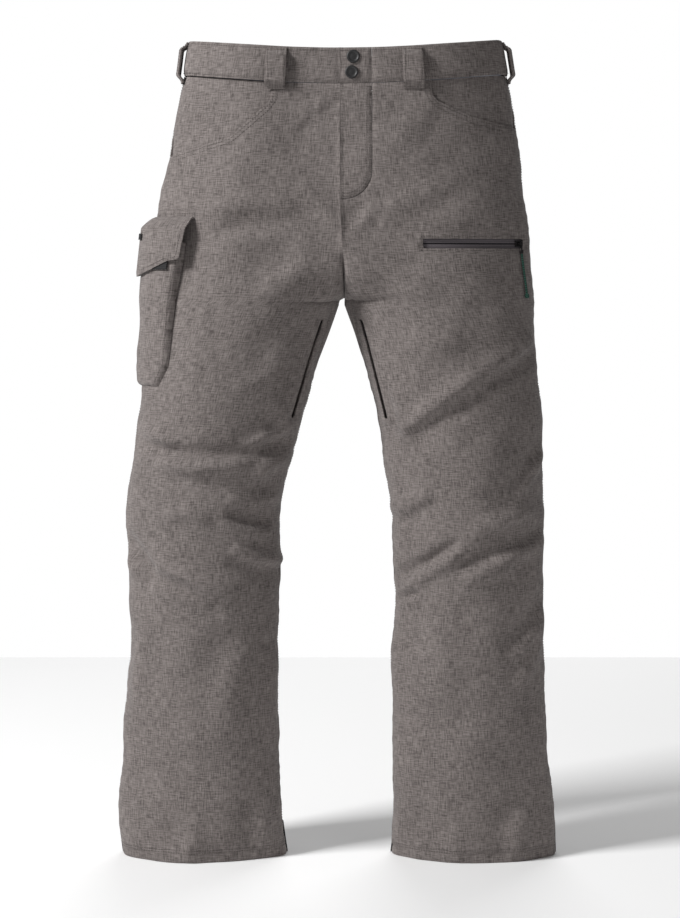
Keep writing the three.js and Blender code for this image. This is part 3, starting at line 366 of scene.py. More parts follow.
def woven_tape(name, dark, light, rib_mm, roughness):
    material, tree, shader = start_material(name, roughness, Specular_IOR_Level=0.35)
    place = flat_map(tree)
    rib = add_node(tree, "ShaderNodeTexWave", {
        "Vector": place, "Scale": 1000 / rib_mm / 6.283, "Distortion": 0.6, "Detail": 1.0,
        "Detail Scale": 2.0}, bands_direction="Y").outputs["Fac"]
    fibre = stretched_noise(tree, place, (1.1, 1.1, 1))
    share = calculate(tree, "MULTIPLY", rib, fibre)
    tree.links.new(blend_colours(tree, share, seen(dark), seen(light)), shader.inputs["Base Color"])
    add_bump(tree, shader, share, 0.25, 0.8)
    return material


LINING = woven_tape("lining_taffeta", "33343a", "55565c", 0.8, 0.55)
ZIP_TAPE = woven_tape("zip_tape_herringbone", "4d474b", "777074", 1.1, 0.6)
VENT_TAPE = woven_tape("vent_tape_brown", "4a4441", "6b6461", 1.1, 0.7)
WEBBING = woven_tape("black_webbing", "161516", "343334", 1.4, 0.8)
THREAD = woven_tape("sewing_thread", "3d3836", "625b58", 0.5, 0.75)
CORD_BRAID = woven_tape("green_cord_braid", "0f241e", "3f7a68", 1.5, 0.7)


def vent_net():
    material, tree, shader = start_material("vent_net", 0.85)
    place = flat_map(tree)
    holes = add_node(tree, "ShaderNodeTexVoronoi", {"Vector": place, "Scale": 620.0, "Randomness": 0.15})
    edge = sharpen(tree, holes.outputs["Distance"], 0.25, 0.45)
    tree.links.new(blend_colours(tree, edge, seen("0b0b0c"), seen("343337")), shader.inputs["Base Color"])
    add_bump(tree, shader, edge, 0.3)
    return material


NET = vent_net()

# %% Hard finishes


def moulded(name, dark, light, grain_mm, roughness, metallic):
    material, tree, shader = start_material(name, roughness, Metallic=metallic)
    place = add_node(tree, "ShaderNodeTexCoord").outputs["Object"]
    grain = stretched_noise(tree, place, (grain_mm,) * 3, 4.0)
    tree.links.new(blend_colours(tree, grain, seen(dark), seen(light)), shader.inputs["Base Color"])
    rough = sharpen(tree, grain, 1 - roughness * 1.6, 1 + roughness)
    add_bump(tree, shader, grain, 0.05, 0.5)
    scatter = add_node(tree, "ShaderNodeMapRange", {
        "Value": rough, "To Min": roughness - 0.08, "To Max": roughness + 0.12})
    tree.links.new(scatter.outputs["Result"], shader.inputs["Roughness"])
    return material


PLASTIC = moulded("matte_black_plastic", "1b1b1c", "2b2a2b", 0.6, 0.52, 0.0)
GUNMETAL = moulded("gunmetal", "2c2a2b", "4a4748", 1.5, 0.38, 0.85)
print("finishes", len(bpy.data.materials))

# %% [markdown]
# ## Folds
# Worn trousers crease where the leg bends and where a seam pulls. Each fold here is a ridge with a
# valley beside it along a line seen from the front or the back: its points, half its width and its
# height, all in millimetres. A cloth simulation would make folds of its own, but not these ones, so they
# are listed one by one. Slow waves, from a fixed seed, keep the cloth between them from looking ironed.

# %% Fold lines
FRONT_FOLDS = [
    ([(0, 1007), (-28, 988), (-53, 963)], 6, -1.8), ([(-24, 1014), (-29, 979)], 4, 1.2),
    ([(80, 936), (104, 980), (120, 1016)], 9, 1.6), ([(60, 925), (90, 985), (98, 1012)], 7, 1.1),
    ([(-186, 863), (-120, 876), (-53, 870)], 9, 1.7), ([(-166, 841), (-120, 846), (-66, 854)], 8, -1.5),
    ([(-60, 900), (-20, 870), (2, 840)], 10, 1.8), ([(50, 880), (30, 850), (12, 835)], 8, 1.8),
    ([(150, 905), (90, 880), (48, 862)], 11, 1.8), ([(60, 800), (90, 770), (130, 752)], 11, 1.6),
    ([(-40, 800), (-70, 775), (-110, 760)], 11, 1.6), ([(-60, 700), (-90, 655), (-140, 630)], 12, 1.8),
    ([(-258, 577), (-238, 572), (-214, 560)], 6, 3.2), ([(-245, 553), (-153, 549), (-66, 564)], 8, -4.2),
    ([(-240, 540), (-190, 532), (-130, 540)], 8, 2.2), ([(-73, 580), (-98, 572), (-130, 555)], 6, 2.6),
    ([(-76, 548), (-98, 530), (-124, 509)], 7, 2.8), ([(-150, 474), (-124, 461), (-90, 456)], 6, -4.2),
    ([(-288, 440), (-270, 416), (-244, 392)], 7, -6.0), ([(-262, 410), (-200, 388), (-140, 360)], 9, 4.4),
    ([(-255, 380), (-210, 362), (-165, 350)], 10, 2.2), ([(-144, 424), (-110, 410), (-76, 402)], 7, 3.8),
    ([(-150, 490), (-110, 486), (-78, 492)], 8, 2.2), ([(-90, 620), (-74, 600), (-70, 570)], 7, 1.8),
    ([(80, 577), (126, 617), (184, 655)], 9, 4.0), ([(270, 690), (236, 664), (190, 640)], 8, -4.0),
    ([(282, 568), (258, 530), (234, 492)], 6, 3.0), ([(74, 380), (112, 404), (157, 436)], 6, -4.4),
    ([(150, 398), (213, 424), (288, 453)], 7, -4.2), ([(74, 347), (86, 356), (104, 364)], 4, -2.8),
    ([(168, 446), (214, 460), (262, 476)], 8, 2.6), ([(290, 355), (262, 315), (228, 272)], 8, 4.2),
    ([(282, 328), (262, 288), (236, 234)], 7, 2.6), ([(80, 165), (90, 85), (74, 12)], 12, 2.2),
    ([(120, 330), (136, 270), (132, 210)], 15, 1.8), ([(-120, 300), (-150, 240), (-146, 170)], 15, 1.6),
    ([(-262, 320), (-270, 250), (-276, 180)], 9, 1.8), ([(66, 470), (90, 480), (120, 500)], 8, 2.4),
    ([(-230, 470), (-200, 474), (-170, 462)], 9, 2.0), ([(230, 405), (200, 392), (160, 386)], 8, 2.4),
    ([(90, 700), (120, 690), (160, 700)], 12, 1.4), ([(70, 640), (84, 600), (86, 560)], 8, 2.0),
    ([(-200, 60), (-196, 30), (-204, 2)], 12, 2.0), ([(250, 70), (238, 40), (240, 4)], 10, 1.8),
    ([(-96, 90), (-102, 50), (-94, 6)], 9, 1.8), ([(160, 60), (152, 30), (158, 2)], 12, 1.6),
]
BACK_FOLDS = [
    ([(20, 905), (80, 890), (150, 905)], 12, 2.4), ([(15, 870), (70, 846), (140, 838)], 10, 3.0),
    ([(18, 838), (66, 806), (130, 788)], 10, 3.2), ([(26, 806), (70, 772), (120, 752)], 9, 2.6),
    ([(225, 860), (190, 838), (150, 830)], 11, 2.2), ([(236, 780), (206, 756), (170, 748)], 11, 2.0),
    ([(80, 545), (130, 530), (196, 548)], 8, -4.0), ([(250, 560), (210, 540), (160, 536)], 8, 3.4),
    ([(84, 505), (140, 492), (206, 500)], 8, -3.6), ([(258, 500), (214, 480), (170, 478)], 7, 3.0),
    ([(84, 460), (124, 452), (172, 462)], 8, 3.0), ([(252, 440), (216, 424), (180, 424)], 9, 2.6),
    ([(92, 400), (130, 392), (170, 398)], 9, 2.2), ([(232, 600), (200, 590), (160, 596)], 11, 2.4),
    ([(120, 330), (140, 250), (128, 170)], 15, 2.0), ([(220, 300), (226, 220), (214, 140)], 14, 2.0),
    ([(100, 120), (96, 60), (106, 10)], 10, 2.0), ([(210, 100), (222, 50), (212, 8)], 11, 2.0),
    ([(40, 1020), (46, 985), (70, 950)], 9, 1.8), ([(150, 1024), (146, 984), (128, 950)], 10, 1.8),
]

# %% Fold heights
FOLD_DEPTH, FOLD_BREADTH = 3.0, 1.2  # how much deeper and wider all folds are than their list says
MOST_OUT, MOST_IN = 11.0, 7.5  # what the sum of all folds can't pass, in millimetres
SLIP = 0.4  # how far the cloth lies under the body surface where it has no fold


def fold_height(x, z, points, half_width, height):
    """A ridge of this height beside a shallower valley, faded at both ends of its line."""
    points = np.array(points, float)
    lengths = np.linalg.norm(np.diff(points, axis=0), axis=1)
    whole, before = lengths.sum(), 0.0
    nearest, signed, along = np.full(x.shape, 1e9), np.zeros(x.shape), np.zeros(x.shape)
    for start, step, length in zip(points, np.diff(points, axis=0), lengths):
        px, pz = x - start[0], z - start[1]
        t = np.clip((px * step[0] + pz * step[1]) / length ** 2, 0, 1)
        gap = np.hypot(px - t * step[0], pz - t * step[1])
        closer = gap < nearest
        side = np.where(step[0] * pz - step[1] * px >= 0, 1, -1)
        signed = np.where(closer, gap * side, signed)
        along = np.where(closer, before + t * length, along)
        nearest = np.minimum(nearest, gap)
        before += length
    fade = np.sqrt(np.clip(np.sin(np.pi * np.clip(along / whole, 0, 1)), 0, 1)) * 0.85
    end_gap = np.minimum(along, whole - along)
    fade = np.where(end_gap < 1e-6, 0, fade)
    half_width = half_width * FOLD_BREADTH
    ridge = np.exp(-(signed / half_width) ** 2)
    valley = np.exp(-((signed + 1.9 * half_width) / (1.3 * half_width)) ** 2)
    return height * fade * (ridge - 0.55 * valley)


WAVES = np.random.default_rng(11)
WAVE_SET = []
for _ in range(26):
    length = WAVES.uniform(38, 190)
    direction = WAVES.normal(size=3) * (0.8, 0.8, 1.2)
    direction /= np.linalg.norm(direction)
    WAVE_SET.append((direction * 2 * math.pi / length, WAVES.uniform(0, 6.28), 0.0042 * length))


def smooth(value, low, high):
    t = np.clip((value - low) / (high - low), 0, 1)
    return t * t * (3 - 2 * t)


def cloth_lift(side, w, z, base):
    """How far the folds carry the cloth off the body surface. They are calmed where the cloth is tailored,
    under the cargo pocket, at the thigh zip and its cord, and at the vents."""
    x = base[..., 0]
    folds = np.zeros(x.shape)
    depth = FOLD_DEPTH * (1 - 0.55 * smooth(z, 830, 930))
    front = depth * smooth(-w, 0.0, 0.25)
    rear = depth * smooth(w, 0.0, 0.25)
    for fold in FRONT_FOLDS:
        folds += front * fold_height(x, z, *fold)
    for points, half_width, height in BACK_FOLDS:
        for mirror in (1, -1):
            moved = [(mirror * px - (2 if mirror < 0 else 0), pz - 7 * (mirror < 0)) for px, pz in points]
            folds += rear * fold_height(x, z, moved, half_width, height)
    for wave, phase, height in WAVE_SET:
        folds += height * np.sin(base @ wave + phase)
    tailored = smooth(z, 985, 1045)
    pocketed = smooth(z, 610, 650) * (1 - smooth(z, 850, 880)) * (side < 0) * smooth(w, -0.75, -0.6)
    zipped = np.exp(-((z - 824) / 20) ** 4) * (side > 0) * smooth(-w, 0.05, 0.2) * smooth(-w, -0.3, 0.1)
    vent = from_vent(side, base)
    vented = np.exp(-(vent[..., 0] / 13) ** 4) * (1 - smooth(np.abs(vent[..., 2]), 68, 84))
    vented = vented * (np.abs(vent[..., 1]) < VENT_REACH)
    most = np.where(folds > 0, MOST_OUT, MOST_IN)
    corded = np.exp(-((x - 250) / 30) ** 4 - ((z - 775) / 44) ** 4) * (side > 0) * smooth(-w, -0.3, -0.1)
    calm = (1 - 0.85 * tailored) * (1 - 0.7 * pocketed) * (1 - 0.8 * zipped) * (1 - 0.85 * vented)
    calm = calm * (1 - 0.85 * corded)
    return most * np.tanh(folds / most) * calm - SLIP - 0.7 * np.maximum(zipped, corded) + 1.2 * vented


print("folds", len(FRONT_FOLDS) + 2 * len(BACK_FOLDS), "waves", len(WAVE_SET))

# %% [markdown]
# ## Laying a piece of cloth
# Every cloth piece is laid the same way, as a maker would: a net of small squares over the body, cut along
# the pattern's edge, lifted by its folds and turned down a little at each seam, then given its
# thickness. `keep` says how far inside the pattern a point is. Squares that the edge crosses are clipped,
# so edges are clean lines, and a boolean isn't needed. The flat map holds real lengths.

# %% Cutting the net


def clipped(places, faces, keep):
    """Cuts faces where keep falls under zero. places holds w, z and the flat map for each corner."""
    inside = keep > 0
    kept, cut_at, extra = [], {}, []

    def crossing(a, b):
        key = (min(a, b), max(a, b))
        if key not in cut_at:
            t = keep[a] / (keep[a] - keep[b])
            cut_at[key] = len(places) + len(extra)
            extra.append(places[a] + (places[b] - places[a]) * t)
        return cut_at[key]

    for face in faces:
        states = inside[face]
        if states.all():
            kept.append(list(face))
        elif states.any():
            outline = []
            for a, b in zip(face, np.roll(face, -1)):
                if inside[a]:
                    outline.append(int(a))
                if inside[a] != inside[b]:
                    outline.append(crossing(int(a), int(b)))
            kept.append(outline)
    return (np.vstack([places, extra]) if extra else places), kept


def inside_outline(u, v, outline):
    """The distance to a closed outline, above zero inside it."""
    outline = np.array(outline, float)
    gap = np.full(np.shape(u), 1e9)
    inside = np.zeros(np.shape(u), bool)
    for (u0, v0), (u1, v1) in zip(outline, np.roll(outline, -1, axis=0)):
        du, dv = u1 - u0, v1 - v0
        t = np.clip(((u - u0) * du + (v - v0) * dv) / (du * du + dv * dv), 0, 1)
        gap = np.minimum(gap, np.hypot(u - u0 - t * du, v - v0 - t * dv))
        crosses = (v0 > v) != (v1 > v)
        with np.errstate(divide="ignore", invalid="ignore"):
            inside ^= crosses & (u < u0 + (v - v0) * du / dv)
    return np.where(inside, gap, -gap)


# %% Making a mesh object


def mesh_object(name, points_mm, faces, lengths, material, lining=None):
    """A mesh from points in millimetres. lengths is its flat map, in metres along and across the cloth."""
    mesh = bpy.data.meshes.new(name)
    mesh.from_pydata([tuple(p) for p in to_metres(points_mm)], [], [[int(i) for i in f] for f in faces])
    layer = mesh.uv_layers.new(name="weave")
    corner = np.zeros(len(mesh.loops), int)
    mesh.loops.foreach_get("vertex_index", corner)
    layer.data.foreach_set("uv", np.asarray(lengths, np.float32)[corner].ravel())
    made = add_object(name, mesh)
    mesh.materials.append(material)
    if lining:
        mesh.materials.append(lining)
    return made


def settle(made, sharp=42):
    """Applies the modifiers, so that the piece is a plain mesh with smooth shading."""
    mesh = bpy.data.meshes.new_from_object(made.evaluated_get(bpy.context.evaluated_depsgraph_get()))
    made.modifiers.clear()
    made.data = mesh
    mesh.shade_smooth()
    mesh.set_sharp_from_angle(angle=math.radians(sharp))
    return made


def thicken(made, thickness_mm, lined=False):
    wall = made.modifiers.new("thickness", "SOLIDIFY")
    wall.thickness = thickness_mm / 1000
    wall.offset = -1
    wall.material_offset = 1 if lined else 0
    return settle(made)


def travelled(line):
    """How far along the line each of its points lies."""
    return np.concatenate([[0], np.cumsum(np.linalg.norm(np.diff(line, axis=0), axis=1))])


def net_faces(columns, rows):
    i, j = np.meshgrid(np.arange(columns - 1), np.arange(rows - 1))
    a = (j * columns + i).ravel()
    return np.stack([a, a + 1, a + 1 + columns, a + columns], 1)


def merged(made, gap_mm=0.02):
    sheet = bmesh.new()
    sheet.from_mesh(made.data)
    bmesh.ops.remove_doubles(sheet, verts=sheet.verts, dist=gap_mm / 1000)
    bmesh.ops.delete(sheet, geom=[v for v in sheet.verts if not v.link_faces], context="VERTS")
    sheet.to_mesh(made.data)
    sheet.free()
    return made


# %% Laying cloth
SHEETS = []
NET_CELL = 3.9
SHELL_THICKNESS = 2.2
ROLL_REACH = 2.4  # how far from an edge the cloth begins to turn down


def quarter_length(side, w, z):
    _, _, big, small, turn, _, _ = quarter_facts(side, w, z)
    return big * turn + small * (math.pi / 2 - turn)


def lay_cloth(name, patches, rows, lift, thickness, material=None, lining=None, keep=None, drape=None,
              body="trousers", held="stretched", rests_on=("waistband",), cell=NET_CELL,
              roll=1.0, seam_ends=True, slot="shell_cloth"):
    """Lays one piece over the (side, first w, last w) patches, between two heights.
    lift(side, w, z, base, edge) is in millimetres, and edge is the distance to the piece's nearest edge."""
    points, all_faces, maps, area = [], [], [], 0.0
    low, high = rows
    for side, w0, w1 in patches:
        across = np.linspace(w0, w1, max(3, int(abs(w1 - w0) * QUARTER / cell) + 1))
        up = np.linspace(low, high, max(3, int((high - low) / cell) + 1))
        w, z = np.meshgrid(across, up)
        base = on_body(side, w, z)
        if drape:
            z = z - drape(base[..., 0], z)
            base = on_body(side, w, z)
        steps = np.linalg.norm(np.diff(base, axis=1), axis=-1)
        u = np.concatenate([np.zeros((len(up), 1)), np.cumsum(steps, axis=1)], axis=1)
        u = side * (u - u[:, [len(across) // 2]]) + base[len(up) // 2, len(across) // 2, 0]
        t = np.broadcast_to((up - low)[:, None], z.shape)
        places = np.stack([w, z, u / 1000, z / 1000, t], -1).reshape(-1, 5)
        faces = net_faces(len(across), len(up))
        if side < 0:
            faces = faces[:, ::-1]
        if keep:
            places, faces = clipped(places, faces, keep(base.reshape(-1, 3), w.ravel()))
        w, z, t = places[:, 0], places[:, 1], places[:, 4]
        base = on_body(side, w, z)
        edge = np.minimum(t, high - low - t)
        if keep:
            edge = np.minimum(edge, np.maximum(keep(base, w), 0))
        if seam_ends:
            reach = quarter_length(side, w, z)
            for end in (w0, w1):
                edge = np.minimum(edge, np.abs(w - end) * reach)
        height = lift(side, w, z, base, edge) - roll * np.exp(-(edge / ROLL_REACH) ** 2)
        if body in ("trousers", "fly_flap") and thickness > 2 and held != "folded":
            height = height * np.where(z > INSEAM - 4, smooth(2 - np.abs(w), 0.0, 0.05), 1)  # halves meet
        placed = base + body_normal(side, w, z) * height[:, None]
        placed[:, 2] = np.maximum(placed[:, 2], 0.0)
        flat = places[:, 2:4]
        for face in faces:
            corners = flat[np.asarray(face)]
            area += abs(np.sum(corners[:, 0] * np.roll(corners[:, 1], -1)
                               - corners[:, 1] * np.roll(corners[:, 0], -1))) / 2
        offset = sum(len(p) for p in points)
        all_faces += [[int(k) + offset for k in face] for face in faces]
        points.append(placed)
        maps.append(flat)
    made = mesh_object(name, np.vstack(points), all_faces, np.vstack(maps), material or SHELL_CLOTH, lining)
    merged(made)
    thicken(made, thickness, lined=bool(lining))
    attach(made, body)
    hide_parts(name)
    made.name = name + "_cloth"
    used = np.vstack(maps)[np.unique(np.concatenate([np.asarray(f) for f in all_faces]))]
    wide, tall = used.max(0) - used.min(0)
    SHEETS.append((made, wide, tall, area, held, rests_on))


def shell_lift(side, w, z, base, edge):
    pucker = 0.5 * np.sin(base[:, 2] / 3.1 + 2 * np.sin(base[:, 2] / 17)) * np.exp(-(edge / 7) ** 2)
    return cloth_lift(side, w, z, base) + pucker * smooth(edge, 0.0, 2.5)


def level_lift(height):
    return lambda side, w, z, base, edge: height + 0 * w


def under_shell(depth):
    """The lift of a piece that lies this deep under the outside of the cloth, and follows its folds."""
    return lambda side, w, z, base, edge: cloth_lift(side, w, z, base) - depth


print("net of", NET_CELL, "mm squares")

# %% [markdown]
# ## The panels
# Each leg has a front and a back panel, sewn at the side and at the inseam, with a gusset between the
# legs. The left front is cut away for the fly and for the thigh zip, and both fronts for the scooped
# pocket mouths and the vents. The pattern's edges are drawn as the maker's chalk lines: outlines seen
# from the front or the side. Cutting the real outlines keeps neighbours a seam's width apart.

# %% Chalk lines
SEAM_GAP = 0.6
FLY_WIDTH, FLY_LENGTH, FLY_CORNER = 41.0, 148.0, 36.0
FLY_BOTTOM = SEAM_Z - DIP - FLY_LENGTH


def fly_outline(grow, top=1200.0):
    angles = np.linspace(-math.pi / 2, 0, 9)
    middle = (FLY_WIDTH + grow - FLY_CORNER, FLY_BOTTOM - grow + FLY_CORNER)
    corner = [(middle[0] + FLY_CORNER * math.cos(a), middle[1] + FLY_CORNER * math.sin(a)) for a in angles]
    return [(-grow, top), (-grow, FLY_BOTTOM - grow), *corner, (FLY_WIDTH + grow, top)]


SCOOP = {LEFT: (117, 36, 72), RIGHT: (88, 42, 116)}  # inner end, drop there and drop at the side


def scoop_line(side, grow=0.0):
    x, drop, end = SCOOP[side]
    line = [
        (x - grow, SEAM_Z + 10), (x + 2 - grow, SEAM_Z - drop + 8), (x + 9 - grow, SEAM_Z - drop - grow),
        (x + 55, SEAM_Z - drop - (end - drop) * 0.55 - grow), (420, SEAM_Z - end - 190 * 0.22 - grow)]
    return [(side * px, pz) for px, pz in line]


def scoop_outline(side, grow=0.0):
    return [*scoop_line(side, grow), (side * 420, SEAM_Z + 10)]


def gusset_depth(base, grow=0.0):
    side_view = [
        (0, INSEAM - 118 - grow), (26 + grow, INSEAM - 48), (38 + grow, INSEAM - 4),
        (84 + grow, INSEAM + 74 + grow), (-70 - grow, INSEAM + 62 + grow), (-28 - grow, INSEAM - 4),
        (-18 - grow, INSEAM - 48)]
    front_view = [
        (CROTCH_X, INSEAM + 84 + grow), (CROTCH_X + 34 + grow, INSEAM + 6),
        (CROTCH_X + 92 + grow, INSEAM - 130), (CROTCH_X - 92 - grow, INSEAM - 130),
        (CROTCH_X - 34 - grow, INSEAM + 6)]
    return np.minimum(
        inside_outline(base[:, 1], base[:, 2], side_view), inside_outline(base[:, 0], base[:, 2], front_view))


def within(outline):
    """A keep that holds what lies inside an outline, seen from the front."""
    return lambda base, w: inside_outline(base[:, 0], base[:, 2], outline)


# %% The zips' places
VENT_LENGTH, VENT_TOP, VENT_WINDOW = 124.0, INSEAM - 28, 6.4  # the cloth's lips half cover the zip
VENT_REACH = 20  # only cloth this near to a vent's plane belongs to it
ZIP_END = 6.5  # how far a window in the cloth runs past its zip, at each end
THIGH_Z, THIGH_WINDOW, THIGH_LENGTH, SLIDER_LENGTH = 824.0, 12.5, 134.0, 11.0


def inner_thigh(side, z):
    """The point and outward direction 38 degrees forward of the inseam."""
    a, b, big, small, turn, crest, forked = (float(f) for f in quarter_facts(side, np.array(-1.5), np.array(z)))
    phi = math.radians(52)
    first = phi <= turn
    r, cx, cy = (big, 0, b - big) if first else (small, a - small, 0)
    out = Vector((-side * math.sin(phi), -math.cos(phi), 0))
    return Vector((crest - side * (cx + r * math.sin(phi)), -(cy + r * math.cos(phi)), z)), out


def vent_frame(side):
    low, _ = inner_thigh(side, VENT_TOP - VENT_LENGTH)
    high, _ = inner_thigh(side, VENT_TOP)
    out = inner_thigh(side, VENT_TOP - VENT_LENGTH / 2)[1]
    up = (high - low).normalized()
    across = (-out).cross(up).normalized()
    into = up.cross(across).normalized()
    frame_of = Matrix((across, into, up)).transposed().to_4x4()
    frame_of.translation = (low + high) / 2
    return frame_of


VENT = {side: vent_frame(side) for side in (LEFT, RIGHT)}


def from_vent(side, base):
    local = VENT[side].inverted()
    turn = np.array(local.to_3x3())
    return base @ turn.T + np.array(local.translation)


a, b, big, small, turn, crest, _ = (float(f) for f in quarter_facts(LEFT, np.array(-0.5), np.array(THIGH_Z)))
ZIP_RADIUS, ZIP_CENTRE = big, Vector((crest, -(b - big), THIGH_Z))
ZIP_START = math.radians(1.5)
zip_reach = [ZIP_START - ZIP_END / ZIP_RADIUS, ZIP_START + (THIGH_LENGTH + ZIP_END) / ZIP_RADIUS]
WINDOW_X = [ZIP_CENTRE.x + ZIP_RADIUS * math.sin(angle) for angle in zip_reach]
print("vent middle", [round(v, 1) for v in VENT[LEFT].translation])
print("zip window x", [round(v) for v in WINDOW_X])

# %% Panels


def panel_top(x, z):
    return dip_at(x) * smooth(z, 700, 1043)


def front_keep(side):
    def keep(base, w):
        x, y, z = base.T
        inside = np.minimum(-gusset_depth(base, SEAM_GAP), -inside_outline(x, z, scoop_outline(side)))
        vent = from_vent(side, base)
        hole = np.minimum(VENT_WINDOW / 2 - np.abs(vent[:, 0]), VENT_LENGTH / 2 + ZIP_END - np.abs(vent[:, 2]))
        hole = np.where(np.abs(vent[:, 1]) < VENT_REACH, hole, -50)
        inside = np.minimum(inside, -hole)
        if side == LEFT:
            inside = np.minimum(inside, -inside_outline(x, z, fly_outline(SEAM_GAP)))
            window = np.minimum(x - WINDOW_X[0], WINDOW_X[1] - x)
            window = np.minimum(THIGH_WINDOW / 2 - np.abs(z - THIGH_Z), window)
            inside = np.minimum(inside, -window)
        return inside
    return keep


for side in (LEFT, RIGHT):
    for place, patch, keep in (("front", (side, -2, -0.003), front_keep(side)),
                               ("back", (side, 0.003, 2), lambda base, w: -gusset_depth(base, SEAM_GAP))):
        lay_cloth(f"{place}_panel_{NAME[side]}", [patch], (0.3, SEAM_Z - 0.3), shell_lift, SHELL_THICKNESS,
                  lining=LINING, keep=keep, drape=panel_top)
gusset_patches = [(side, w, w + 1) for side in (LEFT, RIGHT) for w in (-2, 1)]
lay_cloth("crotch_gusset", gusset_patches, (INSEAM - 124, INSEAM + 90), shell_lift, SHELL_THICKNESS,
          lining=LINING, keep=lambda base, w: gusset_depth(base), seam_ends=False, cell=3.0)
print("panels", [(s[0].name, len(s[0].data.polygons)) for s in SHEETS])

# %% [markdown]
# ## The waistband
# The waistband is a folded strip, a little stiffer and thicker than the panels, with rounded edges. Its
# lower edge is sewn to the panels and its upper edge sinks towards the middle. At the fly a short tab
# takes its place, because it swings open with the fly. A lining strip faces it on the inside.

# %% Waistband


def band_lift(side, w, z, base, edge):
    wrinkle = 0.5 * np.sin(base[:, 0] / 13 + base[:, 2] / 9) * np.sin(base[:, 0] / 37 + 1)
    crease = fold_height(base[:, 0], z, [(-176, 1062), (-166, 1058), (-156, 1056)], 3, 1.6) * (w < 0)
    return np.clip(0.6 * smooth(edge, 1, 8) + wrinkle + crease, -1.2, 2.2)


def beyond_fly(base, w, grow=SEAM_GAP, start=0.0):
    x = base[:, 0]
    tab = np.minimum(x - start + grow, FLY_WIDTH + grow - x)
    return np.where(base[:, 1] < 0, -tab, 50.0)


def waist_dip(x, z):
    return dip_at(x)


ROUND = [(LEFT, -2, 2), (RIGHT, -2, 2)]
BAND_ROWS = (SEAM_Z + 0.3, HEIGHT - 0.4)
lay_cloth("waistband", ROUND, BAND_ROWS, band_lift, 3.4, drape=waist_dip,
          keep=lambda base, w: beyond_fly(base, w, 0.15),
          seam_ends=False, rests_on=("front_panel_left",), cell=3.4)
lay_cloth("waistband_tab", [(LEFT, -2, -1.4)], BAND_ROWS, band_lift, 3.4, body="fly_flap",
          keep=lambda base, w: np.minimum(base[:, 0], FLY_WIDTH - base[:, 0]), drape=waist_dip,
          seam_ends=False, rests_on=("snap_cap_upper",), cell=2.2)
lay_cloth("waistband_facing", ROUND, (SEAM_Z + 3, HEIGHT - 3), level_lift(-4.6), 0.9,
          material=LINING, keep=lambda base, w: beyond_fly(base, w, 6.0, -16.0), drape=waist_dip,
          seam_ends=False, roll=0.3, slot="lining", rests_on=("waistband",))
print("waistband laid")

# %% [markdown]
# ## The fly
# The placket is the part of the left front that folds open about its stitched line. Behind it the
# underlap lies against the right front, then steps back to leave room for the zip and the snaps. Flat
# pieces like these are laid in the fly's own frame, which leans with the front: across, into the
# garment, and up.

# %% Placket and flat pieces
LEAN = math.atan2(12.5, RISE * 0.75)
FLY = Matrix.Translation((0, -66, HEIGHT)) @ Matrix.Rotation(-LEAN, 4, "X")

lay_cloth("fly_placket", [(LEFT, -2, -1.4)], (FLY_BOTTOM - 3, SEAM_Z - 0.3), shell_lift, SHELL_THICKNESS,
          lining=LINING, keep=within(fly_outline(0)), drape=panel_top,
          body="fly_flap", seam_ends=False, rests_on=("fly_underlap",), cell=2.4)


def lay_flat(name, frame_of, path, z_range, thickness, material, cell=2.5, ripple=0.25,
             rests_on=("front_panel_left",), declared=True):
    """Lays a strip that follows path, points across and into the garment, and runs up the frame."""
    path = np.array(path, float)
    length = travelled(path)
    along = np.linspace(0, length[-1], max(3, int(length[-1] / cell) + 1))
    up = np.linspace(*z_range, max(3, int((z_range[1] - z_range[0]) / cell) + 1))
    s, z = np.meshgrid(along, up)
    x = np.interp(s, length, path[:, 0])
    y = np.interp(s, length, path[:, 1]) + ripple * np.sin(z / 11 + s / 7)
    turn, shift = np.array(frame_of.to_3x3()), np.array(frame_of.translation)
    points = np.stack([x, y, z], -1).reshape(-1, 3) @ turn.T + shift
    made = mesh_object(name, points, net_faces(len(along), len(up)),
                       np.stack([s, z], -1).reshape(-1, 2) / 1000, material)
    thicken(made, thickness)
    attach(made, "trousers")
    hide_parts(name)
    made.name = name + "_cloth"
    wide, tall = length[-1] / 1000, (z_range[1] - z_range[0]) / 1000
    if declared:
        SHEETS.append((made, wide, tall, wide * tall, "stretched", rests_on))
    return made


underlap_path = [(-19.5, 4.8), (-7, 4.8), (-5, 5.6), (-2.6, 9.5), (-1, 12.4), (1, 13.3), (37.5, 13.3)]
lay_flat("fly_underlap", FLY, underlap_path, (-BAND - DIP - FLY_LENGTH - 3, -DIP - 5), 2.0, SHELL_CLOTH,
         rests_on=("waistband",))
print("fly laid, leaning", round(math.degrees(LEAN), 2), "degrees")

# %% [markdown]
# ## Belt loops
# A belt loop is a folded strap whose two ends are tacked to the waistband, so it bows outwards between
# them. Here its lift follows a smooth arch from tack to tack, in the space that a belt takes.

# %% Belt loops
LOOP_WIDTH, LOOP_LENGTH, LOOP_OUT = 27.0, 53.0, 10.2
LOOP_HALF = LOOP_WIDTH / 2 - 0.4
LOOP_DROP = 3  # the loops begin this far under the band's top edge
BACK_MIDDLE = 7
LOOPS = {
    "front_left": (94, False), "front_right": (-83, False), "back_left": (98, True), "back_right": (-84, True)}
LOOP_CLOTH = dict(thickness=SHELL_THICKNESS, held="folded", rests_on=("waistband",))


def loop_lift(top):
    def lift(side, w, z, base, edge):
        t = np.clip((top - z) / LOOP_LENGTH, 0, 1)
        ends = smooth(t, 0.04, 0.2) * (1 - smooth(t, 0.8, 0.96))
        return 3.0 + (LOOP_OUT - 3.0) * ends
    return lift


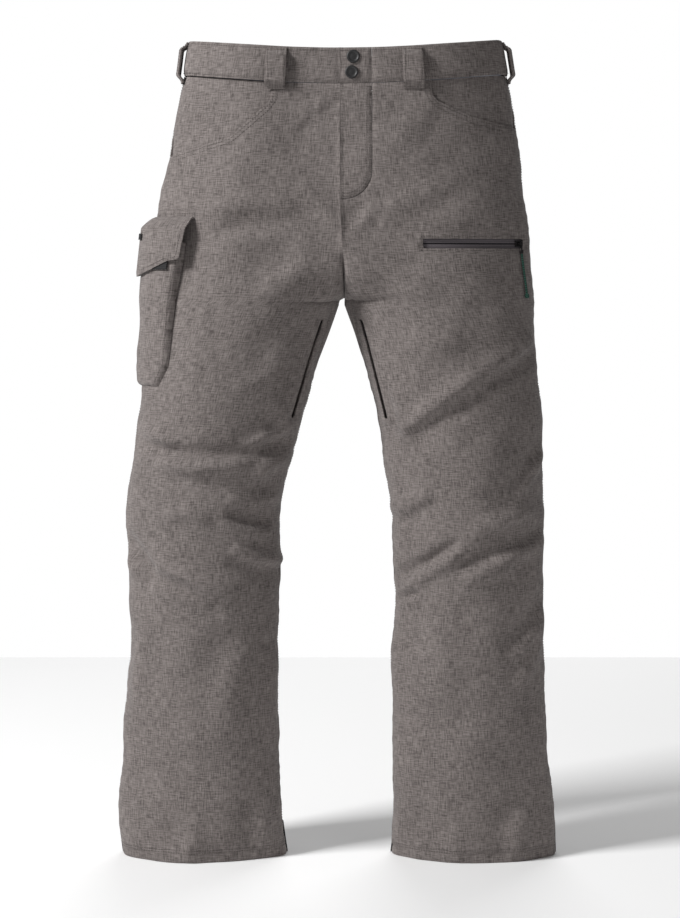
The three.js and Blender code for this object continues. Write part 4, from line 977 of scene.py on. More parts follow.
def belt_loop(name, x, back):
    side = LEFT if x > centre_line(2.0) else RIGHT
    top = HEIGHT - LOOP_DROP - float(dip_at(x))
    ends = sorted(w_at(side, [x - LOOP_HALF, x + LOOP_HALF], [top - LOOP_LENGTH / 2] * 2, back))
    lay_cloth(name, [(side, *ends)], (top - LOOP_LENGTH, top), loop_lift(top), cell=1.8, roll=0.8, **LOOP_CLOTH)


def reach_at_side(side, half):
    """This half width as w, at the side seam of the waistband."""
    return half / float(quarter_length(side, np.array(0.1), np.array(1060.0)))


for place, (x, back) in LOOPS.items():
    belt_loop(f"belt_loop_{place}", x, back)
for side in (LEFT, RIGHT):
    reach = reach_at_side(side, LOOP_HALF)
    top = HEIGHT - LOOP_DROP
    lay_cloth(f"belt_loop_side_{NAME[side]}", [(side, -reach, reach)], (top - LOOP_LENGTH, top), loop_lift(top),
              cell=1.8, roll=0.8, **LOOP_CLOTH)

# The loop at the middle of the back crosses the line where the two halves meet.
edges = {side: w_at(side, [BACK_MIDDLE + side * LOOP_HALF], [1050], True)[0] for side in (LEFT, RIGHT)}
halves = [(side, float(w), 2) for side, w in edges.items()]
top = HEIGHT - LOOP_DROP - float(dip_at(BACK_MIDDLE))
lay_cloth("belt_loop_back_centre", halves, (top - LOOP_LENGTH, top), loop_lift(top), cell=1.4, roll=0.0,
          seam_ends=False, **LOOP_CLOTH)
print("loops laid")

# %% [markdown]
# ## Hand pockets
# The mouth is a scoop cut into the front panel. Behind it lies the facing, a second piece of the shell
# cloth, and behind that a bag of lining hangs flat.

# %% Hand pockets


def facing_lift(side, w, z, base, edge):
    open_mouth = inside_outline(base[:, 0], z, scoop_outline(side))
    return cloth_lift(side, w, z, base) - 3.6 + 3.2 * smooth(open_mouth, 3, 40) * smooth(w, -0.5, 0.0)


for side in (LEFT, RIGHT):
    lay_cloth(f"hand_pocket_facing_{NAME[side]}", [(side, -1.6, -0.003)], (SEAM_Z - 170, SEAM_Z - 0.5),
              facing_lift, 1.4, drape=panel_top, seam_ends=False, roll=0.2, keep=lambda base, w: np.minimum(
                  within(scoop_outline(side, 21.0))(base, w), -w * QUARTER))
    bottom = SEAM_Z - (157 if side == LEFT else 169)
    bag = [(105, SEAM_Z), (211, SEAM_Z), (211, bottom + 40), (179, bottom), (119, bottom), (97, bottom + 30)]
    bag = [(side * px, pz) for px, pz in bag]
    lay_cloth(f"hand_pocket_bag_{NAME[side]}", [(side, -1.6, -0.14)], (bottom, SEAM_Z - 8), under_shell(5.7),
              1.0, material=LINING, keep=within(bag), drape=panel_top, seam_ends=False, roll=0.2, slot="lining",
              rests_on=("waistband",))
print("pockets laid")

# %% [markdown]
# ## Thigh pocket
# The zip lies across the left thigh. Its two tapes follow the thigh's curve behind a slot in the cloth,
# and a bag of lining hangs behind them, set back a little where the slider passes.

# %% Thigh pocket
near_x, far_x = WINDOW_X[0] - 4, WINDOW_X[1] + 3


def tape_keep(base, w):
    height = np.abs(base[:, 2] - THIGH_Z)
    across = np.minimum(base[:, 0] - near_x, far_x - base[:, 0])
    return np.minimum(np.minimum(height - 0.7, 11.6 - height), across)


lay_cloth("thigh_zip_tape", [(LEFT, -1.15, -0.02)], (THIGH_Z - 12, THIGH_Z + 12), level_lift(-5.1), 0.8,
          material=ZIP_TAPE, keep=tape_keep, seam_ends=False,
          roll=0.0, slot="zip_tape", rests_on=("front_panel_left",), cell=1.5)


def thigh_bag_lift(side, w, z, base, edge):
    recess = 1 - smooth(np.abs(z - THIGH_Z), 6.0, 8.5)
    return -7.8 - 4.5 * recess + 0.25 * cloth_lift(side, w, z, base) * (1 - recess)


bag_top = THIGH_Z + 11
thigh_bag = [(97, bag_top), (213, bag_top), (213, bag_top - 120), (189, bag_top - 141), (113, bag_top - 141),
             (97, bag_top - 124)]
lay_cloth("thigh_pocket_bag", [(LEFT, -1.4, -0.05)], (bag_top - 142, bag_top), thigh_bag_lift, 1.0,
          material=LINING, keep=within(thigh_bag),
          seam_ends=False, roll=0.2, slot="lining", rests_on=("front_panel_left",))
print("thigh pocket laid")

# %% [markdown]
# ## Cargo pocket
# The pocket stands off the right leg as a pouch: its front is lifted evenly, its sides fall steeply to
# the leg, and its mouth stays open under the flap. The flap is sewn to the leg above, slopes out over
# the mouth and hangs to a slanted point. Patches of hook and loop tape hold it shut.

# %% Cargo pocket
CARGO_TOP, CARGO_HEIGHT, CARGO_FULL, CARGO_REAR = 859.0, 222.0, 14.0, 34.0
MOUTH = CARGO_TOP - 34
cargo_low = CARGO_TOP - CARGO_HEIGHT
cargo_outline = [(-192, 900), (-203, CARGO_TOP - 56), (-214, CARGO_TOP - 106), (-224, cargo_low + 28),
                 (-238, cargo_low), (-420, cargo_low), (-420, 900)]


def cargo_keep(base, w):
    return np.minimum(inside_outline(base[:, 0], base[:, 2], cargo_outline), CARGO_REAR - base[:, 1])


def pouch_lift(side, w, z, base, edge):
    border = cargo_keep(base, w)
    rise = 1 - np.exp(-np.maximum(border, 0) / 2.2)
    sag = 1.2 * np.sin(base[:, 1] / 24 + z / 46) + 0.9 * np.sin(z / 17 + base[:, 1] / 31)
    crease = fold_height(base[:, 0], z, [(-216, 700), (-232, 720), (-252, 716)], 7, 1.8)
    crease += fold_height(base[:, 0], z, [(-222, 668), (-240, 674), (-262, 664)], 6, -1.8)
    full = CARGO_FULL - 2.4 - 6.4 * (1 - smooth(z, cargo_low - 20, MOUTH - 40))
    return 1.0 + full * rise + (sag + crease) * smooth(border, 4, 24)


lay_cloth("cargo_pocket", [(RIGHT, -1.0, 0.5)], (cargo_low - 1, MOUTH), pouch_lift, 1.5, keep=cargo_keep,
          seam_ends=False, roll=0.0, rests_on=("front_panel_right",), cell=2.6)
flap_low, FLAP_POINT = CARGO_TOP - 56, 28
flap_outline = [
    (-190, CARGO_TOP), (-201, flap_low), (-216, flap_low - 3), (-232, flap_low - FLAP_POINT * 0.4),
    (-248, flap_low - FLAP_POINT * 0.75), (-258, flap_low - FLAP_POINT), (-420, flap_low - FLAP_POINT),
    (-420, CARGO_TOP)]


def flap_keep(base, w):
    return np.minimum(inside_outline(base[:, 0], base[:, 2], flap_outline), CARGO_REAR + 3 - base[:, 1])


def flap_lift(side, w, z, base, edge):
    out = 2.9 + 16.4 * np.clip((CARGO_TOP - z) / 16, 0, 1) ** 0.8
    wave = 0.4 * np.sin(base[:, 1] / 13) * smooth(CARGO_TOP - z, 8, 40)
    return out + wave - 0.5


lay_cloth("cargo_flap", [(RIGHT, -1.0, 0.55)], (flap_low - 30, CARGO_TOP), flap_lift, 2.1, keep=flap_keep,
          body="cargo_flap", seam_ends=False, roll=0.9, rests_on=("cargo_pocket",), cell=2.4)


def patch_keep(y0, y1, z0, z1):
    return lambda base, w: np.minimum(np.minimum(base[:, 1] - y0, y1 - base[:, 1]),
                                      np.minimum(base[:, 2] - z0, z1 - base[:, 2]))


PATCH = dict(material=WEBBING, seam_ends=False, roll=0.0, slot="black_webbing")
for node, out, body in (("cargo_loop_patch", 15.4, "trousers"), ("cargo_hook_patch", 16.5, "cargo_flap")):
    lay_cloth(node, [(RIGHT, -0.8, 0.4)], (flap_low - 14, flap_low + 4), level_lift(out), 0.6,
              keep=patch_keep(-47, 19, 700, 900), body=body, rests_on=("cargo_pocket",), cell=1.8, **PATCH)
lay_cloth("cargo_tag", [(RIGHT, -0.4, 0.3)], (CARGO_TOP - 32, CARGO_TOP - 24), level_lift(20.5), 0.6,
          keep=patch_keep(-17, -1, 700, 900), body="cargo_flap", rests_on=("cargo_flap",), cell=1.2, **PATCH)
SHEETS.pop()  # the tag is a scrap of ribbon, too small to call a sheet
print("cargo pocket laid")

# %% [markdown]
# ## Vents
# Each inner thigh has a zip that opens for air, with a net behind it. The zip lies flat while the cloth
# curves away on both sides, so its tapes and the net are laid flat in the vent's own frame.

# %% Vents and the fly's zip
TAPE_DEPTH = 3 + 2.6
NET_DEPTH = TAPE_DEPTH + 5.2
TAPE_THICKNESS = 0.8
half_vent = (VENT_LENGTH - 8) / 2
half_tape = half_vent + SLIDER_LENGTH / 2 + 2.6


def lay_tape(name, frame_of, middle, depth, near, far, z_range, material, rests_on, cell):
    """One strip of a zip's tape."""
    strip = lay_flat(name, frame_of, [(middle + near, depth), (middle + far, depth)], z_range, TAPE_THICKNESS,
                     material, ripple=0.0, cell=cell, declared=False)
    tall = (z_range[1] - z_range[0]) / 1000
    SHEETS.append((strip, 0.01, tall, (far - near) / 1000 * tall, "stretched", (rests_on,)))
    return strip


for side in (LEFT, RIGHT):
    for near, far in ((-7.6, -0.7), (0.7, 7.6)):
        strip = lay_tape(f"vent_zip_tape_{NAME[side]}", VENT[side], 0, TAPE_DEPTH, near, far,
                         (-half_tape, half_tape), VENT_TAPE, "front_panel_left", 1.7)
    strip.name = f"vent_zip_tape_{NAME[side]}_second_cloth"
    lay_flat(f"vent_mesh_{NAME[side]}", VENT[side], [(-13.8, NET_DEPTH), (13.8, NET_DEPTH)],
             (-half_vent - 11.5, half_vent + 11.5), 0.7, NET, ripple=0.1)

FLY_ZIP_X, FLY_ZIP_DEPTH = 13.0, 8.0
fly_zip_top = -BAND - DIP - SLIDER_LENGTH - 5
FLY_ZIP_Z = (fly_zip_top - (FLY_LENGTH - 26), fly_zip_top)
for place, near, far in (("near", -9.8, -0.7), ("far", 0.7, 9.8)):
    strip = lay_tape("fly_zip_tape", FLY, FLY_ZIP_X, FLY_ZIP_DEPTH, near, far,
                     (FLY_ZIP_Z[0] - 8, FLY_ZIP_Z[1] + 8), ZIP_TAPE, "fly_underlap", 1.8)
    strip.name = f"fly_zip_tape_{place}_cloth"
print("vents and fly zip laid")

# %% [markdown]
# ## Inside the hems
# A gaiter of lining is sewn inside each leg and gathered by a ribbed elastic, to seal round a boot. The
# rear of each hem carries a guard of coarse black webbing against scuffs. Gathers are small waves that
# grow towards the elastic.

# %% Gaiters, elastics and guards


def gaiter_lift(side, w, z, base, edge):
    depth = np.interp(z, [28, 125, 215], [12, 12, 3.6])
    gather = 1.1 * (1 - smooth(z, 50, 190))
    folds = cloth_lift(side, w, z, base) * smooth(z, 60, 200)
    return -depth - 0.2 + folds * 0.9 - gather * (0.5 + 0.5 * np.sin(w * 61))


def elastic_lift(side, w, z, base, edge):
    return -13.8 - 0.35 * (0.5 + 0.5 * np.sin(w * 122)) - 1.0


for side in (LEFT, RIGHT):
    lay_cloth(f"boot_gaiter_{NAME[side]}", [(side, -2, 2)], (28.3, 214.5), gaiter_lift, 0.8, material=LINING,
              seam_ends=False, roll=0.0, held="gathered", slot="lining",
              rests_on=(f"front_panel_{NAME[side]}",))
    lay_cloth(f"gaiter_elastic_{NAME[side]}", [(side, -2, 2)], (28.5, 53.5), elastic_lift, 0.9,
              rests_on=(f"boot_gaiter_{NAME[side]}",), cell=2.6, **PATCH)
    lay_cloth(f"scuff_guard_{NAME[side]}", [(side, 0.04, 1.96)], (0.0, 43.5),
              under_shell(-1.7), 0.9, material=WEBBING, roll=0.4, seam_ends=False, slot="black_webbing",
              rests_on=(f"back_panel_{NAME[side]}",), cell=3.0)
print("hems laid")

# %% [markdown]
# ## Metal and plastic parts
# Sliders, pulls, sockets, studs and back plates keep the frame's exact shapes. A copy of each has its
# loose triangles joined and its edges softened, because real castings have no knife edges and a
# softened edge catches the light.

# %% Hard parts


def soften(node, material, width_mm):
    source = frame["nodes"][node]
    made = add_object(node + "_part", source.data.copy())
    merged(made, 0.003)
    made.data.materials.clear()
    made.data.materials.append(material)
    rim = made.modifiers.new("rim", "BEVEL")
    rim.width = width_mm / 1000
    rim.segments = 2
    rim.limit_method = "ANGLE"
    rim.angle_limit = math.radians(32)
    settle(made, 35)
    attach(made, BODY_OF[node])
    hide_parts(node)


hard = [f"{zip_name}_{part}" for zip_name in ("fly_zip", "thigh_zip") for part in ("slider", "pull")]
hard += [f"vent_zip_{part}_{NAME[side]}" for part in ("slider", "pull") for side in (LEFT, RIGHT)]
hard += [f"snap_{part}_{place}" for part in ("socket", "stud", "plate") for place in ("upper", "lower")]
for node in hard:
    soften(node, GUNMETAL, 0.22)
print("hard parts", len(hard))

# %% [markdown]
# ## Snap caps
# A snap cap is a turned disc: a rounded rim round a shallow dish with a small raised middle. Its profile
# is spun round an axis that leans with the front. The axis starts on the outside of the tab.

# %% Snap caps
CAP_PROFILE = [(0.0, 2.25), (2.2, 2.2), (3.2, 1.95), (4.6, 1.95), (5.7, 2.35), (6.5, 2.9), (7.2, 3.05),
               (7.9, 2.8), (8.4, 2.2), (8.5, 1.3), (8.2, 0.5), (7.6, 0.3), (0.0, 0.3)]


def snap_cap(place, x, z, sides=48):
    node = f"snap_cap_{place}"
    disc = bmesh.new()
    rows = []
    for r, out in CAP_PROFILE:
        angles = [2 * math.pi * k / sides for k in range(sides)] if r > 0 else [0.0]
        ring = []
        for angle in angles:
            local = Vector((x + r * math.cos(angle), -out, z + r * math.sin(angle)))
            ring.append(disc.verts.new(to_metres(FLY @ local)))
        rows.append(ring)
    for first, second in zip(rows, rows[1:]):
        for k in range(sides):
            corners = [first[k % len(first)], first[(k + 1) % len(first)],
                       second[(k + 1) % len(second)], second[k % len(second)]]
            disc.faces.new(list(dict.fromkeys(corners)))
    bmesh.ops.recalc_face_normals(disc, faces=disc.faces)
    mesh = bpy.data.meshes.new(node)
    disc.to_mesh(mesh)
    disc.free()
    mesh.materials.append(PLASTIC)
    made = add_object(node + "_part", mesh)
    mesh.shade_smooth()
    mesh.set_sharp_from_angle(angle=math.radians(50))
    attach(made, BODY_OF[node])
    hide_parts(node)
    return made


for number, place in enumerate(("upper", "lower")):
    cap = snap_cap(place, 17 - 2 * number, -DIP - 8.5 - 3.5 - 20 * number)
    middle = sum((corner.co for corner in cap.data.vertices), Vector()) / len(cap.data.vertices)
    print(place, "cap centre", [round(v, 4) for v in middle])

# %% [markdown]
# ## The zip's pull cord
# A short braided cord hangs from the thigh zip's wire loop and ends in a knot. It is 58 mm long and 3 mm
# thick. Its route is listed: straight down from the loop, leaning away from the cloth. The braid
# is a tube whose surface bulges where strands cross.

# %% Cord route
CORD_LENGTH, CORD_RADIUS = 58.0, 1.5
zip_depth = 3 + 2
tape_radius = ZIP_RADIUS - zip_depth
end_angle = ZIP_START + THIGH_LENGTH / ZIP_RADIUS
zip_end = ZIP_CENTRE + Vector((tape_radius * math.sin(end_angle), -tape_radius * math.cos(end_angle), 0))
HOOK = Matrix.Translation(zip_end) @ Matrix.Rotation(end_angle, 4, "Z")
cord_out, cord_top = -7.95, -13.3
cord_points = [(0, 0, 0), (1, -1.6, -0.25), (2.4, -3, -0.5), (3.4, -5, -0.75), (4, -6.4, -1)]
route = np.array([HOOK @ Vector((x, cord_out + y, cord_top + z * CORD_LENGTH)) for x, y, z in cord_points])


def through(points, count):
    """A smooth curve through the points, evenly spaced."""
    padded = np.vstack([2 * points[0] - points[1], points, 2 * points[-1] - points[-2]])
    fine = []
    for p0, p1, p2, p3 in zip(padded, padded[1:], padded[2:], padded[3:]):
        t = np.linspace(0, 1, 24, endpoint=False)[:, None]
        fine.append(0.5 * (2 * p1 + (p2 - p0) * t + (2 * p0 - 5 * p1 + 4 * p2 - p3) * t ** 2
                           + (3 * p1 - p0 - 3 * p2 + p3) * t ** 3))
    fine = np.vstack([*fine, points[-1:]])
    far = travelled(fine)
    even = np.linspace(0, far[-1], count)
    return np.stack([np.interp(even, far, fine[:, k]) for k in range(3)], -1), far[-1]


def braided_tube(name, line, radius, material, sides=20, strand=0.1, turns=9):
    """A tube along the line, with the diamond bulges of a braid."""
    tangent = np.gradient(line, axis=0)
    tangent /= np.linalg.norm(tangent, axis=1, keepdims=True)
    side_way = np.cross(tangent, (0.31, 0.95, 0.05))
    side_way /= np.linalg.norm(side_way, axis=1, keepdims=True)
    other = np.cross(tangent, side_way)
    share = np.linspace(0, 1, len(line))[:, None]
    angle = np.linspace(0, 2 * math.pi, sides, endpoint=False)[None, :]
    bulge = np.abs(np.sin(2 * angle + share * turns * 6.28) * np.sin(2 * angle - share * turns * 6.28))
    r = radius * (1 - strand + strand * 1.6 * bulge)
    ring = side_way[:, None] * np.cos(angle)[..., None] + other[:, None] * np.sin(angle)[..., None]
    points = (line[:, None] + ring * r[..., None]).reshape(-1, 3)
    faces = []
    for row in range(len(line) - 1):
        for k in range(sides):
            nxt = (k + 1) % sides
            faces.append([row * sides + k, row * sides + nxt, (row + 1) * sides + nxt, (row + 1) * sides + k])
    faces += [list(range(sides))[::-1], [(len(line) - 1) * sides + k for k in range(sides)]]
    flat = np.stack(np.broadcast_arrays(angle * radius / 1000, share * 0.058), -1).reshape(-1, 2)
    made = mesh_object(name, points, faces, flat, material)
    sheet = bmesh.new()
    sheet.from_mesh(made.data)
    bmesh.ops.recalc_face_normals(sheet, faces=sheet.faces)
    sheet.to_mesh(made.data)
    sheet.free()
    made.data.shade_smooth()
    made.data.set_sharp_from_angle(angle=math.radians(60))
    return made


cord_line, cord_length = through(route, 70)
cord = braided_tube("thigh_zip_pull_cord", cord_line, CORD_RADIUS, CORD_BRAID)
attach(cord, "thigh_pull")
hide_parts("thigh_zip_cord")

# %% The knot
turn = np.linspace(0, 2 * math.pi, 61)[:, None]
knot_middle = cord_line[-1] + np.array([0, 0, 3.0])
knot_line = knot_middle + np.hstack([
    (np.sin(turn) + 1.4 * np.sin(2 * turn)) * 0.85, (np.cos(turn) - 1.4 * np.cos(2 * turn)) * 0.85,
    -np.sin(3 * turn) * 1.6])
knot = braided_tube("thigh_zip_cord_knot", knot_line, 1.25, CORD_BRAID, turns=5)
merged(knot, 0.01)
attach(knot, "thigh_pull")
print("cord", round(cord_length, 1), "mm")

# %% [markdown]
# ## Stitches and zip teeth
# A seam is thousands of equal stitches along a line, and a zip's coil is hundreds of equal teeth, so one
# Geometry Nodes tree makes both. It takes lines, spaces points along them, and sets a small rounded bar
# on each, turned along the line. A stitch is long and thin, and a tooth is short and wide. Each line
# carries the direction that lies across it, so that the wide teeth know which way to turn.

# %% The tree for repeated bars


def bars_along_lines():
    tree = bpy.data.node_groups.new("bars_along_lines", "GeometryNodeTree")
    for name, kind in (("Lines", "Geometry"), ("Pitch", "Float"), ("Bar size", "Vector"),
                       ("Finish", "Material")):
        tree.interface.new_socket(name, in_out="INPUT", socket_type="NodeSocket" + kind)
    tree.interface.new_socket("Bars", in_out="OUTPUT", socket_type="NodeSocketGeometry")
    given = add_node(tree, "NodeGroupInput").outputs
    curves = add_node(tree, "GeometryNodeMeshToCurve", {"Mesh": given["Lines"]})
    spaced = add_node(tree, "GeometryNodeResampleCurve", {
        "Curve": curves.outputs["Curve"], "Length": given["Pitch"]}, mode="LENGTH")
    bar = add_node(tree, "GeometryNodeMeshUVSphere", {"Segments": 6, "Rings": 4, "Radius": 0.5})
    tangent = add_node(tree, "GeometryNodeInputTangent").outputs["Tangent"]
    lengthways = add_node(tree, "FunctionNodeAlignRotationToVector", {"Vector": tangent}, axis="Z")
    across = add_node(tree, "GeometryNodeInputNamedAttribute", {"Name": "across"}, data_type="FLOAT_VECTOR")
    turned = add_node(tree, "FunctionNodeAlignRotationToVector", {
        "Rotation": lengthways.outputs["Rotation"], "Vector": across.outputs["Attribute"]},
        axis="X", pivot_axis="Z")
    placed = add_node(tree, "GeometryNodeInstanceOnPoints", {
        "Points": spaced.outputs["Curve"], "Instance": bar.outputs["Mesh"],
        "Rotation": turned.outputs["Rotation"], "Scale": given["Bar size"]})
    real = add_node(tree, "GeometryNodeRealizeInstances", {"Geometry": placed.outputs["Instances"]})
    smoothed = add_node(tree, "GeometryNodeSetShadeSmooth", {"Geometry": real.outputs["Geometry"]})
    finished = add_node(tree, "GeometryNodeSetMaterial", {
        "Geometry": smoothed.outputs["Geometry"], "Material": given["Finish"]})
    add_node(tree, "NodeGroupOutput", {"Bars": finished.outputs["Geometry"]})
    return tree


BARS = bars_along_lines()


def run_bars(name, lines, pitch_mm, size_mm, material, body, slot):
    """lines holds (points, across) pairs in the garment's millimetres."""
    points, edges, across = [], [], []
    for line, direction in lines:
        start = len(points)
        points += list(to_metres(line))
        edges += [(start + k, start + k + 1) for k in range(len(line) - 1)]
        across += list(np.broadcast_to(direction, (len(line), 3)))
    mesh = bpy.data.meshes.new(name)
    mesh.from_pydata([tuple(p) for p in points], edges, [])
    given = mesh.attributes.new("across", "FLOAT_VECTOR", "POINT")
    given.data.foreach_set("vector", np.asarray(across, np.float32).ravel())
    made = add_object(name, mesh)
    maker = made.modifiers.new("bars", "NODES")
    maker.node_group = BARS
    inputs = {item.name: item.identifier for item in BARS.interface.items_tree if item.in_out == "INPUT"}
    maker[inputs["Pitch"]] = pitch_mm / 1000
    maker[inputs["Bar size"]] = [s / 1000 for s in size_mm]
    maker[inputs["Finish"]] = material
    bars = bpy.data.meshes.new_from_object(made.evaluated_get(bpy.context.evaluated_depsgraph_get()))
    made.modifiers.clear()
    made.data = bars
    if "weave" not in bars.uv_layers:
        bars.uv_layers.new(name="weave")
    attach(made, body)
    print(name, len(bars.polygons), "faces")


# %% Where the seams run


def on_top(side, w, z, lift, out, edge=9.0):
    """Points just above the cloth, and the direction out of it at each."""
    base = on_body(side, w, z)
    height = lift(side, w, z, base, np.full(len(w), edge)) + out
    normal = body_normal(side, w, z)
    return base + normal * height[:, None], normal


def seam(side, ws, zs, lift=shell_lift, out=0.25, n=None, body_dip=False):
    """A line of stitches on the cloth: w and z at its corners, filled in evenly."""
    ws, zs = np.broadcast_arrays(np.asarray(ws, float), np.asarray(zs, float))
    count = n or max(4, int(max(abs(zs[-1] - zs[0]), abs(ws[-1] - ws[0]) * QUARTER) / 6))
    t = np.linspace(0, len(ws) - 1, count)
    w, z = np.interp(t, range(len(ws)), ws), np.interp(t, range(len(ws)), zs)
    if body_dip:
        z = z - panel_top(on_body(side, w, z)[:, 0], z)
    return on_top(side, w, z, lift, out)


def drawn(line, side, lift=shell_lift, out=0.25, back=False, step=5.0):
    """A line of stitches drawn as x, z points, seen from the front."""
    line = np.array(line, float)
    far = travelled(line)
    even = np.linspace(0, far[-1], max(3, int(far[-1] / step)))
    x, z = np.interp(even, far, line[:, 0]), np.interp(even, far, line[:, 1])
    return on_top(side, w_at(side, x, z, back), z, lift, out)


def shifted(line, distance):
    """The line moved sideways, to its left for distances above zero."""
    line = np.array(line, float)
    step = np.gradient(line, axis=0)
    step /= np.linalg.norm(step, axis=1, keepdims=True)
    return line + np.stack([-step[:, 1], step[:, 0]], -1) * distance


def trimmed_line(line, high_z, low_x=-1000):
    line = np.array(line, float)
    fine = np.vstack([np.linspace(p, q, 30, endpoint=False) for p, q in zip(line, line[1:])])
    return fine[(fine[:, 0] > low_x) & (fine[:, 1] < high_z)]


SEAM_LINES, FLY_LINES, FLAP_LINES = [], [], []
for side in (LEFT, RIGHT):
    for rise in (14, 17.5):
        SEAM_LINES.append(seam(side, [-1.99, 1.99], rise, n=160))
    SEAM_LINES.append(seam(side, 0.028, [12, 1040]))
    SEAM_LINES.append(seam(side, -1.955, [18, 640]))
    SEAM_LINES.append(seam(side, 1.965, [840, 1040], body_dip=True))
    for out_by in (3.2, 8.0):
        line = trimmed_line(shifted(scoop_line(side), -side * out_by), high_z=SEAM_Z - 16)
        line = line[np.abs(line[:, 0]) < (226 if side == LEFT else 232)]
        SEAM_LINES.append(drawn(line, side))

# %% Waistband, loops and fly seams


def band_line(side, ws, drop):
    w = np.linspace(*ws, 90)
    z = np.full(90, HEIGHT - drop)
    z = z - dip_at(on_body(side, w, z)[:, 0])
    return on_top(side, w, z, band_lift, 0.3, 6.0)


fly_w, tab_w = (float(w_at(LEFT, [FLY_WIDTH + gap], [1060])[0]) for gap in (2, -2))
for drop in (4.0, BAND - 3.5):
    SEAM_LINES.append(band_line(RIGHT, (-1.99, 1.99), drop))
    SEAM_LINES.append(band_line(LEFT, (fly_w, 1.99), drop))
    FLY_LINES.append(band_line(LEFT, (-1.98, tab_w), drop))
fly_top = SEAM_Z - DIP - 4
FLY_LINES.append(drawn([(3.5, fly_top), (3.5, FLY_BOTTOM + 4)], LEFT))
for inset in (3.0, 6.5):
    j_line = [(FLY_WIDTH - inset, fly_top), (FLY_WIDTH - inset, FLY_BOTTOM + FLY_CORNER)]
    radius = FLY_CORNER - inset
    j_line += [(FLY_WIDTH - FLY_CORNER + radius * math.cos(a), FLY_BOTTOM + FLY_CORNER - radius * math.sin(a))
               for a in np.linspace(0.15, math.pi / 2, 10)]
    FLY_LINES.append(drawn(j_line, LEFT, step=3.0))
for side in (LEFT, RIGHT):
    ends = [(side * 2.5 + centre_line(1.36), 872), (side * 2.5 + centre_line(1.3), 836)]
    SEAM_LINES.append(drawn(ends, side))


LOOP_INSET = 3.2


def loop_seams(x, back, half=LOOP_WIDTH / 2 - LOOP_INSET):
    side = LEFT if x > centre_line(2.0) else RIGHT
    top = HEIGHT - LOOP_DROP - float(dip_at(x))
    lift = loop_lift(top)
    lines = [drawn([(x + s * half, top - 3), (x + s * half, top - LOOP_LENGTH + 3)], side, lift, 0.3, back, 2.0)
             for s in (-1, 1)]
    for drop in (2.0, LOOP_LENGTH - 2.0):
        lines.append(drawn([(x - half, top - drop), (x + half, top - drop)], side, lift, 0.3, back, 3.0))
    return lines


for x, back in LOOPS.values():
    SEAM_LINES += loop_seams(x, back)
for side in (LEFT, RIGHT):
    reach = reach_at_side(side, LOOP_WIDTH / 2 - LOOP_INSET)
    for w in (-reach, reach):
        ends = [HEIGHT - 2 * LOOP_DROP, HEIGHT - LOOP_LENGTH]
        SEAM_LINES.append(seam(side, w, ends, loop_lift(HEIGHT - LOOP_DROP), 0.3, n=24))

# %% Pocket seams
for rise in (4.0, 9.0):
    SEAM_LINES.append(drawn([(-186, CARGO_TOP + rise), (-243, CARGO_TOP + rise)], RIGHT))
    SEAM_LINES.append(drawn([(-243, CARGO_TOP + rise), (-240, CARGO_TOP + rise)], RIGHT, back=True))
pouch_edge = shifted(cargo_outline[1:5], -4.5)
SEAM_LINES.append(drawn(trimmed_line(pouch_edge, high_z=MOUTH - 2), RIGHT, pouch_lift, 0.3))
flap_edge = trimmed_line(shifted(flap_outline[:6], -4.0), high_z=CARGO_TOP - 6, low_x=-251)
FLAP_LINES.append(drawn(flap_edge, RIGHT, flap_lift, 0.3))
low, high = THIGH_Z - THIGH_WINDOW / 2 - 2.4, THIGH_Z + THIGH_WINDOW / 2 + 2.4
for z in (low, high):
    SEAM_LINES.append(drawn([(WINDOW_X[0] - 2, z), (WINDOW_X[1] + 1, z)], LEFT))
SEAM_LINES.append(drawn([(WINDOW_X[0] - 2.4, low), (WINDOW_X[0] - 2.4, high)], LEFT, step=2.0))
STITCH = dict(pitch_mm=3.6, size_mm=(0.62, 0.42, 2.5), material=THREAD)
run_bars("seam_stitches", SEAM_LINES, body="trousers", slot="shell_cloth", **STITCH)
run_bars("fly_stitches", FLY_LINES, body="fly_flap", slot="shell_cloth", **STITCH)
run_bars("cargo_flap_stitches", FLAP_LINES, body="cargo_flap", slot="shell_cloth", **STITCH)

# %% Zip coils


def coil_rows(frame_of, x, y, z_range):
    across = np.array(frame_of.to_3x3() @ Vector((1, 0, 0)))
    rows = []
    for offset in (-1.5, 1.5):
        ends = [frame_of @ Vector((x + offset, y, z)) for z in z_range]
        rows.append((np.array([list(ends[0].lerp(ends[1], t)) for t in np.linspace(0, 1, 12)]), across))
    return rows


COIL_DEPTH = 1.75  # how far the teeth lie behind the tape
coils = coil_rows(FLY, FLY_ZIP_X, FLY_ZIP_DEPTH + COIL_DEPTH, (FLY_ZIP_Z[0] - 6, FLY_ZIP_Z[1] + 6))
for side in (LEFT, RIGHT):
    coils += coil_rows(VENT[side], 0, TAPE_DEPTH + COIL_DEPTH, (-half_tape + 2, half_tape - 2))
coil_radius = tape_radius - COIL_DEPTH
angles = np.linspace(ZIP_START - 5 / ZIP_RADIUS, ZIP_START + (THIGH_LENGTH + 5) / ZIP_RADIUS, 60)
for offset in (-1.5, 1.5):
    x, y = ZIP_CENTRE.x + coil_radius * np.sin(angles), ZIP_CENTRE.y - coil_radius * np.cos(angles)
    arc = np.stack([x, y, np.full(len(angles), THIGH_Z + offset)], -1)
    coils.append((arc, (0, 0, 1)))
run_bars("zip_coils", coils, 1.5, (3.0, 1.5, 0.9), ZIP_TAPE, "trousers", "zip_tape")
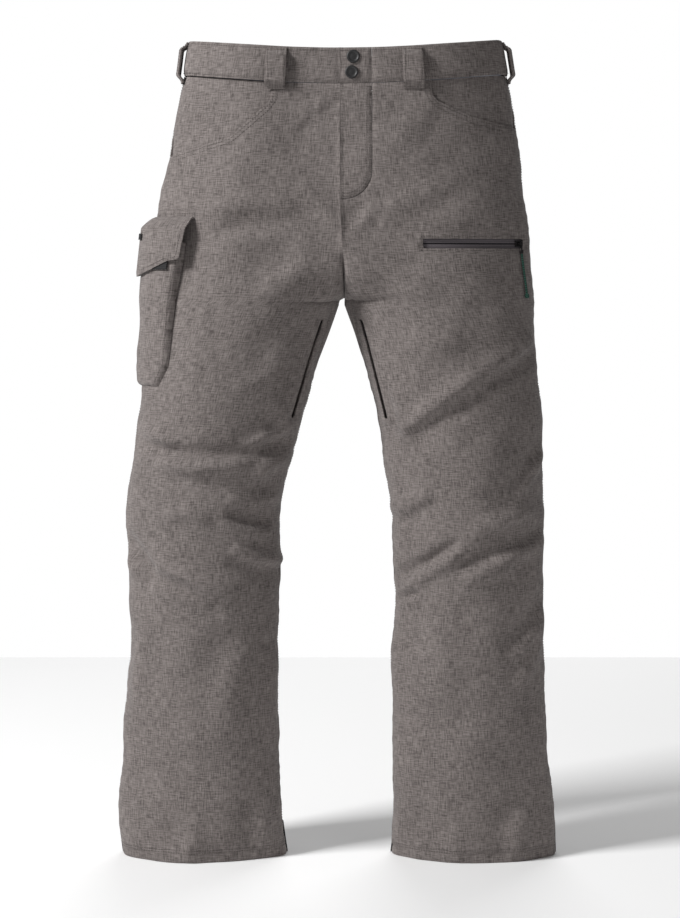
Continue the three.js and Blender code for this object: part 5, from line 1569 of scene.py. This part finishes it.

# %% [markdown]
# ## Pieces sewn along one edge
# The fly's placket and the cargo flap are sewn on along one edge, and only the cloth beyond the seam
# swings. Here these pieces are taken off their bodies and their places are baked into their points; the
# body and the two seam points listed for each are not used.

# %% Taking the sewn pieces off their bodies
FLY_TURN = ("fly_flap", (0.0434, 0, 0.97), (0.0364, 0, 0.97))
FLAP_TURN = ("cargo_flap", (0, 0, 0.8595), (0, 0, 0.8435))
turning = {"fly_placket_cloth": FLY_TURN, "waistband_tab_cloth": FLY_TURN, "fly_stitches": FLY_TURN,
           "cargo_flap_cloth": FLAP_TURN, "cargo_flap_stitches": FLAP_TURN}
for name, (body, start, end) in turning.items():
    piece = bpy.data.objects[name]
    piece.parent = None
    piece.matrix_world = Matrix.Identity(4)
    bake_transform(piece)
print("turning pieces", len(turning))

# %% [markdown]
# ## The sheets' sizes
# Every laid piece is cloth cut from the roll. The gusset's four patches have maps that lie apart, so
# its width is worked out instead, as the one at which its area fills a usual share of the rectangle.

# %% Sheets
LEAST, USUAL_SHARE = 0.0101, 0.6
for made, wide, tall, area, held, rests_on in SHEETS:
    wide, tall = max(wide, LEAST), max(tall, LEAST)
    if area < 0.4 * wide * tall:
        wide = area / (USUAL_SHARE * tall)
print("sheets", len(SHEETS))

# %% [markdown]
# ## Floor and surround
# A pale floor and an even white surround, so that nothing but the cloth has colour. The surround is white
# only to the camera. As a light it is weak, or it would flatten the folds.

# %% Stage
floor_mesh = bpy.data.meshes.new("floor")
floor_mesh.from_pydata([(-1.7, -1.9, 0), (1.7, -1.9, 0), (1.7, 1.5, 0), (-1.7, 1.5, 0)], [], [(0, 1, 2, 3)])
floor = add_object("floor", floor_mesh)
floor_paint, _, _ = start_material("pale_floor", 0.9, Base_Color=(0.93, 0.93, 0.93, 1))
floor_mesh.materials.append(floor_paint)
world = bpy.data.worlds.new("surround")
bpy.context.scene.world = world
world.use_nodes = True
surround = world.node_tree.nodes["Background"]
surround.inputs["Color"].default_value = (1, 1, 1, 1)
looked_at = add_node(world.node_tree, "ShaderNodeLightPath").outputs["Is Camera Ray"]
glow = calculate(world.node_tree, "MULTIPLY_ADD", looked_at, 0.82, 0.18)
world.node_tree.links.new(glow, surround.inputs["Strength"])
